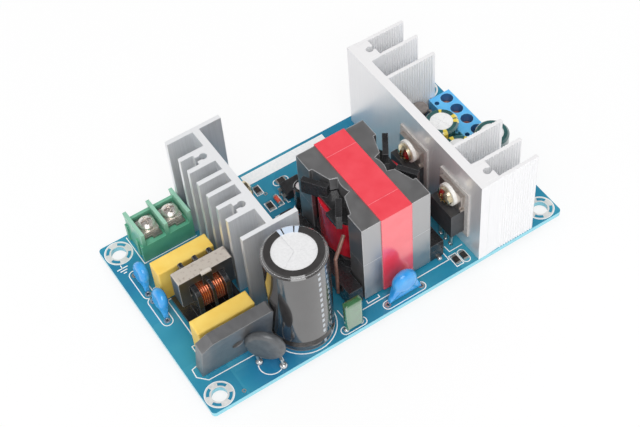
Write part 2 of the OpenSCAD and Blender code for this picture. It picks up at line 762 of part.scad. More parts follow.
module solder_cone(p, d) {
    translate([p[0], p[1], 0]) rotate_extrude($fn = 24) polygon([
        [d / 2, 0], [max(d, flat_lead_d) / 2 + solder_w, 0],
        [max(d, flat_lead_d) / 2 + solder_w * 0.35, -solder_h * 0.5],
        [max(d, flat_lead_d) / 2 + 0.08, -solder_h], [d / 2, -solder_h]
    ]);
}

module input_terminal_housing() color([0.16, 0.5, 0.36])
    translate([in_term_x, in_term_y, board_t]) difference() {
        union() {
            translate([-in_term_pitch, -in_term_depth / 2, 0])
                cube([2 * in_term_pitch, in_term_depth, in_term_deck]);
            translate([-in_term_pitch, in_term_depth / 2 - in_rim_t, 0])
                cube([2 * in_term_pitch, in_rim_t, in_term_rim_h]);
            for (i = [-1, 0, 1])
                translate([i * in_term_pitch - in_term_wall / 2, 0, 0]) rotate([90, 0, 90])
                    linear_extrude(in_term_wall) polygon([
                        [-in_term_depth / 2, 0], [in_term_depth / 2, 0],
                        [in_term_depth / 2, in_term_rim_h],
                        [in_term_depth / 2 + in_term_horn, in_term_back_h],
                        [-in_term_depth / 2, in_term_front_h]
                    ]);
            for (y = [-0.5, -0.24, 0.38])
                translate([-in_term_pitch - in_term_wall / 2 - in_rib_t, y * in_term_depth, 0])
                    cube([in_rib_t + eps, in_rib_w, in_term_deck]);
        }
        for (s = [-1, 1]) {
            translate([s * in_term_pitch / 2, 0, in_term_deck - in_thread_l - seat_gap])
                cylinder(h = in_term_deck, d = in_screw_d + seat_gap);
            translate([s * in_term_pitch / 2, in_pin_y - in_term_y, -eps])
                cylinder(h = in_term_deck + 2 * eps, d = in_pin_d + seat_gap, $fn = 24);
        }
    }

// Stamped contact plates with a cut corner, each with a pin down to the board
module input_terminal_contacts() color([0.8, 0.78, 0.72]) {
    for (p = in_poles)
        translate([p[0], p[1], board_t + in_term_deck]) difference() {
            translate([-contact_w / 2, -in_term_depth / 2 + contact_inset, 0])
                cube([contact_w, in_term_depth - in_rim_t - 1.2 * contact_inset, contact_t]);
            translate([-contact_w / 2 - eps, -in_term_depth / 2 + contact_inset - eps, -eps])
                cube([contact_w * 0.45, contact_step, contact_t + 2 * eps]);
            translate([0, 0, -eps]) cylinder(h = contact_t + 2 * eps, d = in_screw_d);
        }
    leads(in_pins, in_pin_d, in_term_deck + contact_t / 2);
}

module input_terminal_clamps() color([0.85, 0.83, 0.78])
    for (p = in_poles)
        translate([p[0], p[1], board_t + in_term_deck + contact_t]) difference() {
            linear_extrude(clamp_t) round_rect(contact_w, contact_w, 0.5);
            translate([0, 0, -eps]) cylinder(h = clamp_t + 2 * eps, d = in_screw_d);
        }

module input_terminal_screws() color([0.82, 0.8, 0.76])
    for (p = in_poles)
        translate([p[0], p[1], board_t + in_term_deck + contact_t + clamp_t]) {
            pan_head(in_screw_head_d, in_head_h);
            translate([0, 0, -contact_t - clamp_t - in_thread_l])
                cylinder(h = contact_t + clamp_t + in_thread_l + head_root, d = in_screw_d);
        }

module varistor() color([0.12, 0.45, 0.8])
    translate([varistor_x, varistor_y, 0])
        dipped_disc(varistor_d, varistor_t, varistor_pitch, varistor_z, 0);

module y_capacitor_line() color([0.15, 0.5, 0.85])
    translate([disc_x, disc_back_y, 0]) rotate(-90)
        dipped_disc(disc_d, disc_t, disc_pitch, disc_z, disc_lean);

module y_capacitor_neutral() color([0.15, 0.5, 0.85])
    translate([disc_x, disc_second_y, 0]) rotate(-90)
        dipped_disc(disc_d, disc_t, disc_pitch, disc_z, disc_lean);

module barrier_capacitor() color([0.15, 0.5, 0.85])
    translate([bridge_cap_x, bridge_cap_y, 0])
        dipped_disc(bridge_cap_d, bridge_cap_t, bridge_cap_pitch, bridge_cap_z, 0);

module x_capacitor(x, y) {
    color([0.93, 0.77, 0.27]) {
        translate([x, y, board_t]) soft_block(x_cap_l, x_cap_w, x_cap_h, 0.45);
        leads(pair([x, y], x_cap_pitch), thin_lead_d, 0.5);
    }
}

module x_capacitor_input() x_capacitor(x_cap_in_x, x_cap_in_y);

module x_capacitor_output() x_capacitor(x_cap_out_x, x_cap_out_y);

// Closed ferrite ring on edge, made of two U halves
module choke_core() color([0.55, 0.52, 0.5])
    translate([choke_x, choke_y + choke_bar_y / 2, board_t + choke_top - choke_ring_h / 2])
        rotate([90, 0, 0]) linear_extrude(choke_bar_y) difference() {
            round_rect(choke_w, choke_ring_h, 0.5);
            square([choke_w - 2 * choke_bar_z, choke_ring_h - 2 * choke_bar_z], center = true);
        }

// Bobbin round the ring's lower bar: tube, three flanges with a finger up behind the upper
// bar, pin base and a hook over the upper bar
module choke_bobbin() color([0.1, 0.1, 0.11]) {
    flange_top = choke_top - choke_bar_z - bobbin_gap;
    room_y = choke_bar_y + 2 * bobbin_gap;
    room_z = choke_bar_z + 2 * bobbin_gap;
    finger_y = choke_bar_y / 2 + choke_finger_off;
    finger_h = choke_base_h + choke_bar_z + bobbin_gap - choke_finger_down;
    hook_y = -choke_bar_y / 2 - bobbin_gap - choke_hook_t;
    translate([choke_x, choke_y, board_t]) {
        difference() {
            union() {
                translate([-choke_span / 2, 0, choke_axis_z]) rotate([90, 0, 90])
                    linear_extrude(choke_span)
                        round_rect(choke_tube_y, choke_tube_z, choke_tube_r);
                choke_flange_plate(-choke_span / 2, choke_flange_t, flange_top);
                choke_flange_plate(-choke_mid_t / 2, choke_mid_t, flange_top);
                choke_flange_plate(choke_span / 2 - choke_flange_t, choke_flange_t, flange_top);
                translate([-choke_w / 2, -choke_flange / 2, 0])
                    cube([choke_w, choke_flange, choke_base_h]);
            }
            translate([-choke_span, -room_y / 2, choke_axis_z - room_z / 2])
                cube([2 * choke_span, room_y, room_z]);
        }
        for (x = [-(choke_span - choke_flange_t) / 2, 0, (choke_span - choke_flange_t) / 2])
            translate([x - choke_flange_t / 2, finger_y, flange_top - choke_base_h]) {
                cube([choke_flange_t, choke_finger_y, finger_h]);
                translate([choke_flange_t / 2, 0, finger_h])
                    rotate([-90, 0, 0]) cylinder(h = choke_finger_y, d = choke_flange_t);
            }
        translate([-choke_hook_w / 2, hook_y, flange_top - choke_base_h])
            cube([choke_hook_w, choke_hook_t, choke_base_h + choke_bar_z + bobbin_gap + 2 * seat_gap]);
        translate([-choke_hook_w / 2, hook_y, choke_top + seat_gap])
            cube([choke_hook_w, 2 * choke_hook_t, choke_hook_t / 2]);
    }
    leads(choke_pins, thin_lead_d, 0.8);
}

// Round-cornered flange of the choke's bobbin from x on
module choke_flange_plate(x, t, top) {
    translate([x, 0, top / 2]) rotate([90, 0, 90]) linear_extrude(t)
        round_rect(choke_flange, top, choke_flange_r);
}

// One winding in its bay: packed inner layers under an outer layer of round turns
module choke_winding(side) color([0.8, 0.42, 0.2]) {
    pitch = choke_bay / choke_turns;
    wire = min(pitch, choke_wire_d);
    translate([choke_x + side * (choke_bay + choke_mid_t) / 2, choke_y, board_t + choke_axis_z])
        rotate([90, 0, 90]) {
            linear_extrude(choke_bay, center = true) difference() {
                around_tube(choke_pack);
                around_tube(0);
            }
            for (i = [0 : choke_turns - 1])
                translate([0, 0, (i - (choke_turns - 1) / 2) * pitch])
                    turn(choke_pack + wire / 2 + seat_gap / 5, wire);
        }
}

// Outline of the choke's tube, grown outwards by d
module around_tube(d) {
    round_rect(choke_tube_y + 2 * d, choke_tube_z + 2 * d, choke_tube_r + d);
}

// One closed turn of round wire whose middle runs at distance off from the tube
module turn(off, d) {
    a = choke_tube_y / 2 + off;
    b = choke_tube_z / 2 + off;
    r = choke_tube_r + off;
    for (s = [-1, 1]) {
        translate([s * a, 0, 0]) rotate([90, 0, 0])
            cylinder(h = 2 * (b - r), d = d, center = true);
        translate([0, s * b, 0]) rotate([0, 90, 0])
            cylinder(h = 2 * (a - r), d = d, center = true);
    }
    for (q = [[1, 1, 0], [-1, 1, 90], [-1, -1, 180], [1, -1, 270]])
        translate([q[0] * (a - r), q[1] * (b - r), 0]) rotate(q[2])
            rotate_extrude(angle = 90) translate([r, 0]) circle(d = d);
}

module choke_winding_line() choke_winding(-1);

module choke_winding_neutral() choke_winding(1);

// Moulded bridge with one cut corner and a screw hole, leaning forward on its leads
module bridge_rectifier() color([0.3, 0.3, 0.32]) {
    translate([bridge_x, bridge_y, board_t + 0.6]) rotate([bridge_lean, 0, 0]) difference() {
        translate([0, bridge_t / 2, 0]) rotate([90, 0, 0]) linear_extrude(bridge_t) polygon([
            [-bridge_w / 2, 0], [bridge_w / 2, 0], [bridge_w / 2, bridge_h - 0.6],
            [bridge_w / 2 - 0.6, bridge_h], [-bridge_w / 2 + bridge_chamfer, bridge_h],
            [-bridge_w / 2, bridge_h - bridge_chamfer_h]
        ]);
        translate([0, 0, bridge_h / 2]) rotate([90, 0, 0])
            cylinder(h = bridge_t + 1, d = bridge_hole_d, center = true);
    }
    flat_leads_up(bridge_leads, 1.2);
}

// Dark ceramic disc on two stout leads that bend in from the board
module inrush_limiter() color([0.22, 0.23, 0.24]) {
    leads(ntc_leads, stout_lead_d, stout_lead_d);
    translate([ntc_x, ntc_y, board_t]) rotate(ntc_turn) {
        translate([ntc_shift, 0, ntc_z]) disc_body(ntc_d, ntc_t);
        for (s = [-1, 1])
            bar(
                [s * ntc_pitch / 2, 0, stout_lead_d / 2],
                [ntc_shift + s * ntc_d * 0.3, 0, ntc_z - ntc_d * 0.3],
                stout_lead_d / 2, stout_lead_d / 2
            );
    }
}

// Extruded comb: spine, fins, long end plates and two screw ports
module primary_heatsink() color([0.6, 0.61, 0.63])
    translate([0, sink1_y, board_t]) difference() {
        linear_extrude(sink_h) difference() {
            union() {
                translate([sink1_spine_x, -sink1_l / 2]) square([sink1_spine_t, sink1_l]);
                for (i = [-2.5 : 1 : 2.5])
                    translate([sink1_tip_x, i * sink1_pitch - sink1_fin_t / 2])
                        square([sink1_fin_l + eps, sink1_fin_t]);
                for (s = [-1, 1])
                    translate([sink1_tip_x, s * (sink1_l - sink1_fin_t) / 2 - sink1_fin_t / 2])
                        square([sink1_fin_l + sink1_spine_t + sink1_end_reach, sink1_fin_t]);
                for (s = [-1, 1])
                    translate([sink1_port_x - port_wall, s * sink1_port_y - sink1_pitch / 2])
                        square([sink1_spine_x - sink1_port_x + port_wall + eps, sink1_pitch]);
            }
            for (s = [-1, 1]) translate([sink1_port_x, s * sink1_port_y]) {
                circle(d = port_d);
                translate([-2 * port_wall, -port_slit / 2]) square([2 * port_wall, port_slit]);
            }
        }
        translate([sink1_spine_x - eps, switch_y - sink1_y, dev_hole_z]) rotate([0, 90, 0])
            cylinder(h = sink1_spine_t + 2 * eps, d = dev_screw_d);
    }

// Outline of a fin along +X from its root, with fine ribs on both sides
module ribbed_fin(l, t, root) {
    count = floor((l - root) / rib_pitch);
    side = [for (i = [0 : count - 1], k = [0, 1])
        [root + (i + k / 2) * rib_pitch, t / 2 - (1 - k) * rib_depth]];
    other = [for (i = [len(side) - 1 : -1 : 0]) [side[i][0], -side[i][1]]];
    polygon(concat([[-eps, t / 2]], side, [[l, t / 2 - rib_depth], [l, rib_depth - t / 2]], other,
        [[-eps, -t / 2]]));
}

// Extruded plate with three ribbed fins at each end and two screw ports
module secondary_heatsink() color([0.86, 0.87, 0.89])
    translate([0, sink2_mid_y, board_t]) difference() {
        linear_extrude(sink_h) difference() {
            union() {
                translate([sink2_x, -sink2_l / 2]) square([sink2_plate_t, sink2_l]);
                for (s = [-1, 1], f = sink2_fins)
                    translate([sink2_x + sink2_plate_t, s * f])
                        ribbed_fin(sink2_fin_l, sink2_fin_t, f == sink2_inner_y ? 0.4 : 2 * port_wall);
                for (s = [-1, 1])
                    translate([sink2_x + sink2_plate_t - eps, s * sink2_port_y - sink2_gap / 2])
                        square([2 * port_wall - sink2_fin_t / 2, sink2_gap]);
            }
            for (s = [-1, 1]) translate([sink2_port_x, s * sink2_port_y]) {
                circle(d = port_d);
                translate([0, -port_slit / 2]) square([2 * port_wall, port_slit]);
            }
        }
        for (y = [rect_front_y, rect_back_y])
            translate([sink2_x - eps, y - sink2_mid_y, dev_hole_z]) rotate([0, 90, 0])
                cylinder(h = sink2_plate_t + 2 * eps, d = dev_screw_d);
    }

// Metal tab and three leads of a heatsink device, its back face on x = 0, body towards +x
module device_frame() {
    notch = 0.6;
    notch_h = 1.4;
    cover = 0.8;
    root = 1.4;
    shoulder_w = 1.3;
    shoulder_z = 3.2;
    body_top = dev_z + dev_body_h;
    difference() {
        translate([0, -dev_w / 2, body_top]) cube([dev_tab_t, dev_w, dev_tab_h]);
        for (s = [-1, 1])
            translate([-eps, s * dev_w / 2 - notch, body_top + cover])
                cube([dev_tab_t + 2 * eps, 2 * notch, notch_h]);
        translate([-eps, 0, dev_hole_z]) rotate([0, 90, 0])
            cylinder(h = dev_tab_t + 2 * eps, d = dev_hole_d);
    }
    translate([0, cover - dev_w / 2, dev_z + cover])
        cube([dev_tab_t, dev_w - 2 * cover, dev_body_h - cover]);
    for (i = [-1, 0, 1]) {
        translate([dev_lead_x - dev_lead_t / 2, i * dev_pitch - dev_lead_w / 2, -board_t - lead_out])
            cube([dev_lead_t, dev_lead_w, board_t + lead_out + dev_z + root]);
        translate([dev_lead_x - dev_lead_t / 2, i * dev_pitch - shoulder_w / 2, shoulder_z])
            cube([dev_lead_t, shoulder_w, dev_z - shoulder_z + root]);
    }
    translate([0, -dev_lead_w / 2, dev_z + cover]) cube([dev_lead_x, dev_lead_w, dev_lead_t]);
}

// Moulded body of a heatsink device round its metal frame
module device_body() {
    difference() {
        translate([0, -dev_w / 2, dev_z]) cube([dev_t, dev_w, dev_body_h]);
        device_frame();
    }
}

module at_switch() translate([sink1_back_x + pad_t, switch_y, board_t]) children();

module at_rectifier(y) translate([rect_x, y, board_t]) mirror([1, 0, 0]) children();

module switch_lead_frame() color([0.7, 0.7, 0.72]) at_switch() device_frame();

module switch_body() color([0.12, 0.12, 0.13]) at_switch() device_body();

module rectifier_frame_front() color([0.75, 0.72, 0.7]) at_rectifier(rect_front_y) device_frame();

module rectifier_frame_back() color([0.75, 0.72, 0.7]) at_rectifier(rect_back_y) device_frame();

module rectifier_body_front() color([0.12, 0.12, 0.13]) at_rectifier(rect_front_y) device_body();

module rectifier_body_back() color([0.12, 0.12, 0.13]) at_rectifier(rect_back_y) device_body();

// Insulating pad between a device and its heatsink, from x on
module device_pad(x, y) {
    pad_over = 1.5;
    pad_h = dev_body_h + dev_tab_h + 2 * pad_over;
    color([0.72, 0.72, 0.7]) translate([x, y, board_t]) difference() {
        translate([0, -pad_w / 2, dev_z - pad_over]) cube([pad_t, pad_w, pad_h]);
        translate([-eps, 0, dev_hole_z]) rotate([0, 90, 0])
            cylinder(h = pad_t + 2 * eps, d = dev_screw_d + seat_gap);
    }
}

module switch_pad() device_pad(sink1_back_x, switch_y);

module rectifier_pad_front() device_pad(rect_x, rect_front_y);

module rectifier_pad_back() device_pad(rect_x, rect_back_y);

// Shouldered washers that keep the screws off the devices' tabs
module insulating_bushings() color([0.93, 0.92, 0.9]) {
    at_switch() bushing();
    for (y = [rect_front_y, rect_back_y]) at_rectifier(y) bushing();
}

module bushing() translate([dev_tab_t, 0, dev_hole_z]) rotate([0, 90, 0]) difference() {
    union() {
        cylinder(h = bush_t, d = bush_d);
        translate([0, 0, -dev_tab_t]) cylinder(h = dev_tab_t, d = dev_hole_d - seat_gap);
    }
    translate([0, 0, -dev_tab_t - eps])
        cylinder(h = dev_tab_t + bush_t + 2 * eps, d = dev_screw_d + seat_gap);
}

// Pan-head screws that clamp the three devices to the heatsinks
module device_screws() color([0.82, 0.75, 0.5]) {
    point = 1;
    for (y = [rect_front_y, rect_back_y]) at_rectifier(y)
        translate([dev_tab_t + bush_t, 0, dev_hole_z]) rotate([0, 90, 0])
            screw(dev_head_d, dev_head_h, dev_tab_t + bush_t + pad_t + sink2_plate_t + point);
    at_switch() translate([dev_tab_t + bush_t, 0, dev_hole_z]) rotate([0, 90, 0])
        screw(dev_head_d, dev_head_h, dev_tab_t + bush_t + pad_t + sink1_spine_t);
}

// Screw with its head above z = 0 and its shank below
module screw(head_d, head_h, shank_l) {
    pan_head(head_d, head_h);
    translate([0, 0, -shank_l]) cylinder(h = shank_l + head_root, d = dev_screw_d);
}

// Screws from under the board up into the heatsinks' ports
module heatsink_screws() color([0.8, 0.8, 0.82])
    for (p = sink_ports) translate([p[0], p[1], 0]) {
        mirror([0, 0, 1]) pan_head(port_head_d, port_head_h);
        translate([0, 0, -head_root]) cylinder(h = board_t + head_root, d = port_screw_d);
        translate([0, 0, board_t]) cylinder(h = port_thread_l, d = port_d);
    }

module bulk_capacitor() color([0.8, 0.8, 0.81])
    translate([bulk_x, bulk_y, 0]) can(bulk_d, bulk_h, bulk_pitch, stout_lead_d, [93, 213, 333]);

module bulk_capacitor_sleeve() color([0.08, 0.08, 0.09])
    translate([bulk_x, bulk_y, 0]) sleeve(bulk_d, bulk_h, bulk_d * 0.145);

module film_capacitor() color([0.25, 0.5, 0.28]) {
    translate([film_x, film_y, board_t + 0.4]) soft_block(film_w, film_t, film_h, 1.2);
    leads(film_leads, thin_lead_d, 1.8);
}

// Outline of a core plate: full ends, slanting sides and a waist as round as the post
module plate_outline() {
    hw = core_w / 2;
    hl = core_l / 2;
    land = 5.2;
    for (s = [0, 180]) rotate(s) polygon([
        [-hw, hl], [hw, hl], [hw, hl - land], [hw - 0.6, hl - land - 0.3], [hw - 2.9, 3.6],
        [hw - 4.7, 3], [0, 0], [-hw + 4.7, 3], [-hw + 2.9, 3.6], [-hw + 0.6, hl - land - 0.3],
        [-hw, hl - land]
    ]);
    circle(d = post_d);
}

// Half of the ferrite core: plate, round middle post and two outer legs with a round inside
module core_half() {
    linear_extrude(core_plate) plate_outline();
    cylinder(h = core_h / 2, d = post_d);
    linear_extrude(core_h / 2) difference() {
        for (s = [-1, 1])
            translate([-core_w / 2, s > 0 ? leg_in_y : -core_l / 2])
                square([core_w, core_l / 2 - leg_in_y]);
        circle(d = window_d);
    }
}

module transformer_core_lower() color([0.4, 0.4, 0.41])
    translate([trafo_x, trafo_y, board_t + core_z]) core_half();

module transformer_core_upper() color([0.4, 0.4, 0.41])
    translate([trafo_x, trafo_y, board_t + core_z + core_h]) mirror([0, 0, 1]) core_half();

// Bobbin on the middle post: tube, thick base and thin upper flange, pin rails, four slanting
// core guides and two ears that lead the wires out
module transformer_bobbin() color([0.09, 0.09, 0.1])
    translate([trafo_x, trafo_y, board_t]) difference() {
        union() {
            translate([0, 0, base_z]) cylinder(h = winding_z1 - base_z + bobbin_t, r = tube_r);
            bobbin_flange(base_z, bobbin_base_t);
            bobbin_flange(winding_z1, bobbin_t);
            for (s = [-1, 1]) {
                translate([s * rail_x - rail_w / 2, -rail_l / 2, rail_foot])
                    cube([rail_w, rail_l, rail_top - rail_foot]);
                translate([s > 0 ? 0 : -rail_x, -leg_in_y + bobbin_gap, base_z])
                    cube([rail_x, 2 * (leg_in_y - bobbin_gap), bobbin_t]);
            }
            for (sx = [-1, 1]) {
                core_guide(sx, 1, guide_back);
                core_guide(sx, -1, guide_front);
                translate([sx * core_w / 2 - (sx > 0 ? ear_in : ear_out), ear_y, winding_z1])
                    cube([ear_in + ear_out, ear_l, bobbin_t]);
            }
        }
        translate([0, 0, -eps]) cylinder(h = 2 * core_h, d = post_d + 2 * bobbin_gap);
        for (p = trafo_pins)
            translate([p[0] - trafo_x, p[1] - trafo_y, -eps])
                cylinder(h = rail_top - pin_cover, d = stout_lead_d, $fn = 24);
    }

// Round flange of the bobbin, cut off in line with the rails
module bobbin_flange(z, t) {
    translate([0, 0, z]) intersection() {
        cylinder(h = t, r = flange_r);
        translate([-core_w / 2 - rail_gap, -flange_r, 0])
            cube([core_w + 2 * rail_gap, 2 * flange_r, t]);
    }
}

// Slanting guide wall on the upper flange, beside the plate's waist
module core_guide(sx, sy, reach) {
    inset = 1.6;
    start_y = 2.6;
    turn = atan2(sy * 0.84, sx * 0.55);
    translate([sx * (core_w / 2 - inset), sy * start_y, winding_z1]) rotate(turn)
        translate([0, -guide_t / 2, 0]) cube([reach, guide_t, core_plate + bobbin_t - guide_down]);
}

module transformer_pins() color([0.78, 0.78, 0.8])
    leads(trafo_pins, stout_lead_d, rail_top - pin_cover - 2 * seat_gap);

module transformer_winding() color([0.75, 0.1, 0.16])
    translate([trafo_x, trafo_y, board_t + winding_z0]) difference() {
        cylinder(h = winding_z1 - winding_z0, d = winding_d);
        translate([0, 0, -eps]) cylinder(h = winding_z1 - winding_z0 + 2 * eps, r = tube_r);
    }

// Band of tape wrapped over the core's top, ends and underside
module transformer_tape() color([0.9, 0.15, 0.22])
    translate([trafo_x + tape_w / 2, trafo_y, board_t + core_z + core_h / 2]) rotate([90, 0, -90])
        linear_extrude(tape_w) difference() {
            square([core_l + 2 * tape_t, core_h + 2 * tape_t], center = true);
            square([core_l, core_h], center = true);
        }

// Insulated start of the winding, led out of it and down outside the pin rail
module transformer_lead_wire() color([0.7, 0.45, 0.35])
    translate([trafo_x, trafo_y, board_t]) {
        out_x = -rail_out - wire_room + lead_wire_d / 2;
        at = atan2(lead_wire_y, out_x);
        out_r = winding_d / 2 + lead_wire_d;
        translate([out_x, lead_wire_y, lead_wire_z0])
            cylinder(h = lead_wire_z1 - lead_wire_z0, d = lead_wire_d);
        translate([out_x, lead_wire_y, lead_wire_z1]) sphere(d = lead_wire_d);
        bar(
            [out_x, lead_wire_y, lead_wire_z1],
            [out_r * cos(at), out_r * sin(at), lead_wire_z1 + lead_wire_rise],
            lead_wire_d / 2, lead_wire_d / 2
        );
    }

// Eight-lead controller with gull-wing leads
module controller_chip() color([0.1, 0.1, 0.11]) {
    w = 3.9;
    l = 4.9;
    h = 1.45;
    stand = 0.15;
    span = 6;
    foot = 0.6;
    lead_w = 0.4;
    lead_t = 0.2;
    lead_z = 0.7;
    translate([chip_x, chip_y, board_t]) {
        translate([0, 0, stand]) linear_extrude(h) square([w, l], center = true);
        for (side = [0, 180], p = row([0, 0], 4, opto_pitch / 2, 90)) rotate(side)
            translate([0, p[1] - lead_w / 2, 0]) {
                translate([w / 2 - eps, 0, lead_z])
                    cube([span / 2 - foot - w / 2 + lead_t, lead_w, lead_t]);
                translate([span / 2 - foot, 0, 0]) cube([lead_t, lead_w, lead_z + lead_t]);
                translate([span / 2 - foot, 0, 0]) cube([foot, lead_w, lead_t]);
            }
    }
}

// Four-pin coupler with pins bent down at its two sides
module optocoupler() color([0.15, 0.15, 0.16]) {
    stand = 0.6;
    pin_w = 1.2;
    pin_t = 0.3;
    pin_z = 2.2;
    reach = (opto_span + thin_lead_d) / 2 - opto_w / 2 + seat_gap;
    translate([opto_x, opto_y, board_t + stand]) soft_block(opto_w, opto_l, opto_h, 0.25);
    for (p = opto_pins)
        translate([p[0] + (p[0] > opto_x ? thin_lead_d / 2 - reach : -thin_lead_d / 2), p[1] - pin_w / 2,
            board_t + pin_z]) cube([reach, pin_w, pin_t]);
    leads(opto_pins, thin_lead_d, pin_z + pin_t);
}

module small_capacitor_primary() color([0.75, 0.75, 0.76])
    translate([small_cap_x, small_cap_y, 0])
        can(small_cap_d, small_cap_h, small_cap_pitch, thin_lead_d, [0, 90, 180, 270]);

module small_capacitor_sleeve() color([0.1, 0.1, 0.11])
    translate([small_cap_x, small_cap_y, 0]) sleeve(small_cap_d, small_cap_h, small_cap_d * 0.12);

module chip_bodies() color([0.2, 0.18, 0.18])
    for (c = chip_places) translate([c[0], c[1], board_t]) rotate(c[2])
        translate([-smd_l / 2 + cap_l, -smd_w / 2, 0])
            cube([smd_l - 2 * cap_l, smd_w, smd_h]);

module chip_terminals() color([0.85, 0.85, 0.86]) {
    for (c = chip_places, s = [-1, 1]) translate([c[0], c[1], board_t]) rotate(c[2])
        translate([s > 0 ? smd_l / 2 - cap_l : -smd_l / 2, -smd_w / 2, 0])
            cube([cap_l, smd_w, smd_h]);
    for (s = [-1, 1])
        translate([diode_place[0], diode_place[1], board_t + diode_d / 2]) rotate(diode_place[2])
            rotate([0, 90, 0]) translate([0, 0, s > 0 ? diode_l / 2 - cap_l : -diode_l / 2])
                cylinder(h = cap_l, d = diode_d);
}

module glass_diode() color([0.9, 0.4, 0.35])
    translate([diode_place[0], diode_place[1], board_t + diode_d / 2]) rotate(diode_place[2])
        rotate([0, 90, 0]) cylinder(h = diode_l - 2 * cap_l, d = diode_d - 2 * seat_gap, center = true);

module output_capacitor(i) color([0.85, 0.86, 0.87])
    translate([out_caps[i][0], out_caps[i][1], 0])
        can(out_cap_d, out_cap_h, out_cap_pitch, thin_lead_d, [20, 110, 200, 290]);

module output_capacitor_1() output_capacitor(0);

module output_capacitor_2() output_capacitor(1);

module output_capacitor_3() output_capacitor(2);

module output_capacitor_sleeves() color([0.2, 0.33, 0.31])
    for (c = out_caps) translate([c[0], c[1], 0]) sleeve(out_cap_d, out_cap_h, out_cap_d * 0.14);

// Ferrite rod with its wire ends through the board, one of them up along its side
module output_choke() color([0.55, 0.53, 0.52]) {
    edge = 0.3;
    r = rod_d / 2 - sleeve_t;
    translate([rod_at[0], rod_at[1], board_t]) rotate_extrude()
        polygon([[0, 0], [r, 0], [r, rod_h - edge], [r - edge, rod_h], [0, rod_h]]);
    leads([rod_leads[0]], rod_wire_d, rod_tail_h);
    leads([rod_leads[1]], rod_wire_d, rod_wire_d);
}

// Shrunk sleeve round the choke's rod
module output_choke_sleeve() color([0.1, 0.1, 0.11])
    translate([rod_at[0], rod_at[1], board_t + rod_wire_d])
        linear_extrude(rod_h - 2 * rod_wire_d) difference() {
            circle(d = rod_d);
            circle(d = rod_d - 2 * sleeve_t);
        }

// Block of wire clamps: a screw well on top and a wire mouth on the outer side for each pole
module output_terminal_housing() color([0.2, 0.6, 0.9])
    translate([0, 0, board_t]) difference() {
        translate([out_term_x - out_term_depth / 2, out_term_y - out_term_l / 2, 0])
            cube([out_term_depth, out_term_l, out_term_h]);
        for (p = out_poles) translate([p[0], p[1], 0]) {
            translate([0, 0, out_floor]) cylinder(h = out_term_h, d = out_well_d);
            translate([0, -out_mouth_w / 2, out_floor]) cube([out_term_depth, out_mouth_w, out_mouth_h]);
            translate([0, 0, -eps]) cylinder(h = out_floor + 2 * eps, d = in_pin_d + seat_gap, $fn = 24);
        }
        for (p = [out_poles[0], out_poles[out_term_poles - 1]])
            translate([out_term_x + out_probe_off, p[1], out_term_h / 2])
                cylinder(h = out_term_h, d = out_probe_d);
    }

// Contact cages in the wells, each with its pin
module output_terminal_cages() color([0.7, 0.72, 0.74]) {
    wall = 0.7;
    inner = out_mouth_w - 2 * wall;
    for (p = out_poles) translate([p[0], p[1], board_t + out_floor]) difference() {
        cylinder(h = out_cage_h, d = out_well_d - seat_gap);
        translate([-inner / 2, -inner / 2, wall]) cube([out_term_depth, inner, out_mouth_h - wall]);
        translate([0, 0, out_mouth_h - eps]) cylinder(h = out_cage_h, d = out_thread_d);
    }
    leads(out_poles, in_pin_d, out_floor + seat_gap);
}

// Slotted clamp screws sunk in the wells
module output_terminal_screws() color([0.78, 0.76, 0.74]) {
    slot = 0.6;
    thread_l = out_cage_h - out_mouth_h;
    for (p = out_poles) translate([p[0], p[1], board_t + out_floor + out_cage_h]) difference() {
        union() {
            cylinder(h = out_head_h, d = out_well_d - 3 * seat_gap);
            translate([0, 0, -thread_l]) cylinder(h = thread_l + head_root, d = out_thread_d);
        }
        translate([-out_well_d, -slot / 2, out_head_h / 2]) cube([2 * out_well_d, slot, out_head_h]);
    }
}

circuit_board();
solder_joints();
input_terminal_housing();
input_terminal_contacts();
input_terminal_clamps();
input_terminal_screws();
varistor();
y_capacitor_line();
y_capacitor_neutral();
x_capacitor_input();
x_capacitor_output();
choke_core();
choke_bobbin();
choke_winding_line();
choke_winding_neutral();
bridge_rectifier();
inrush_limiter();
primary_heatsink();
switch_pad();
switch_lead_frame();
switch_body();
bulk_capacitor();
bulk_capacitor_sleeve();
film_capacitor();
barrier_capacitor();
transformer_core_lower();
transformer_core_upper();
transformer_bobbin();
transformer_pins();
transformer_winding();
transformer_tape();
transformer_lead_wire();
controller_chip();
optocoupler();
small_capacitor_primary();
small_capacitor_sleeve();
chip_bodies();
chip_terminals();
glass_diode();
secondary_heatsink();
rectifier_pad_front();
rectifier_pad_back();
rectifier_frame_front();
rectifier_frame_back();
rectifier_body_front();
rectifier_body_back();
insulating_bushings();
device_screws();
heatsink_screws();
output_capacitor_1();
output_capacitor_2();
output_capacitor_3();
output_capacitor_sleeves();
output_choke();
output_choke_sleeve();
output_terminal_housing();
output_terminal_cages();
output_terminal_screws();
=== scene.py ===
import math
import bmesh
import bpy
from mathutils import Color, Matrix, Vector


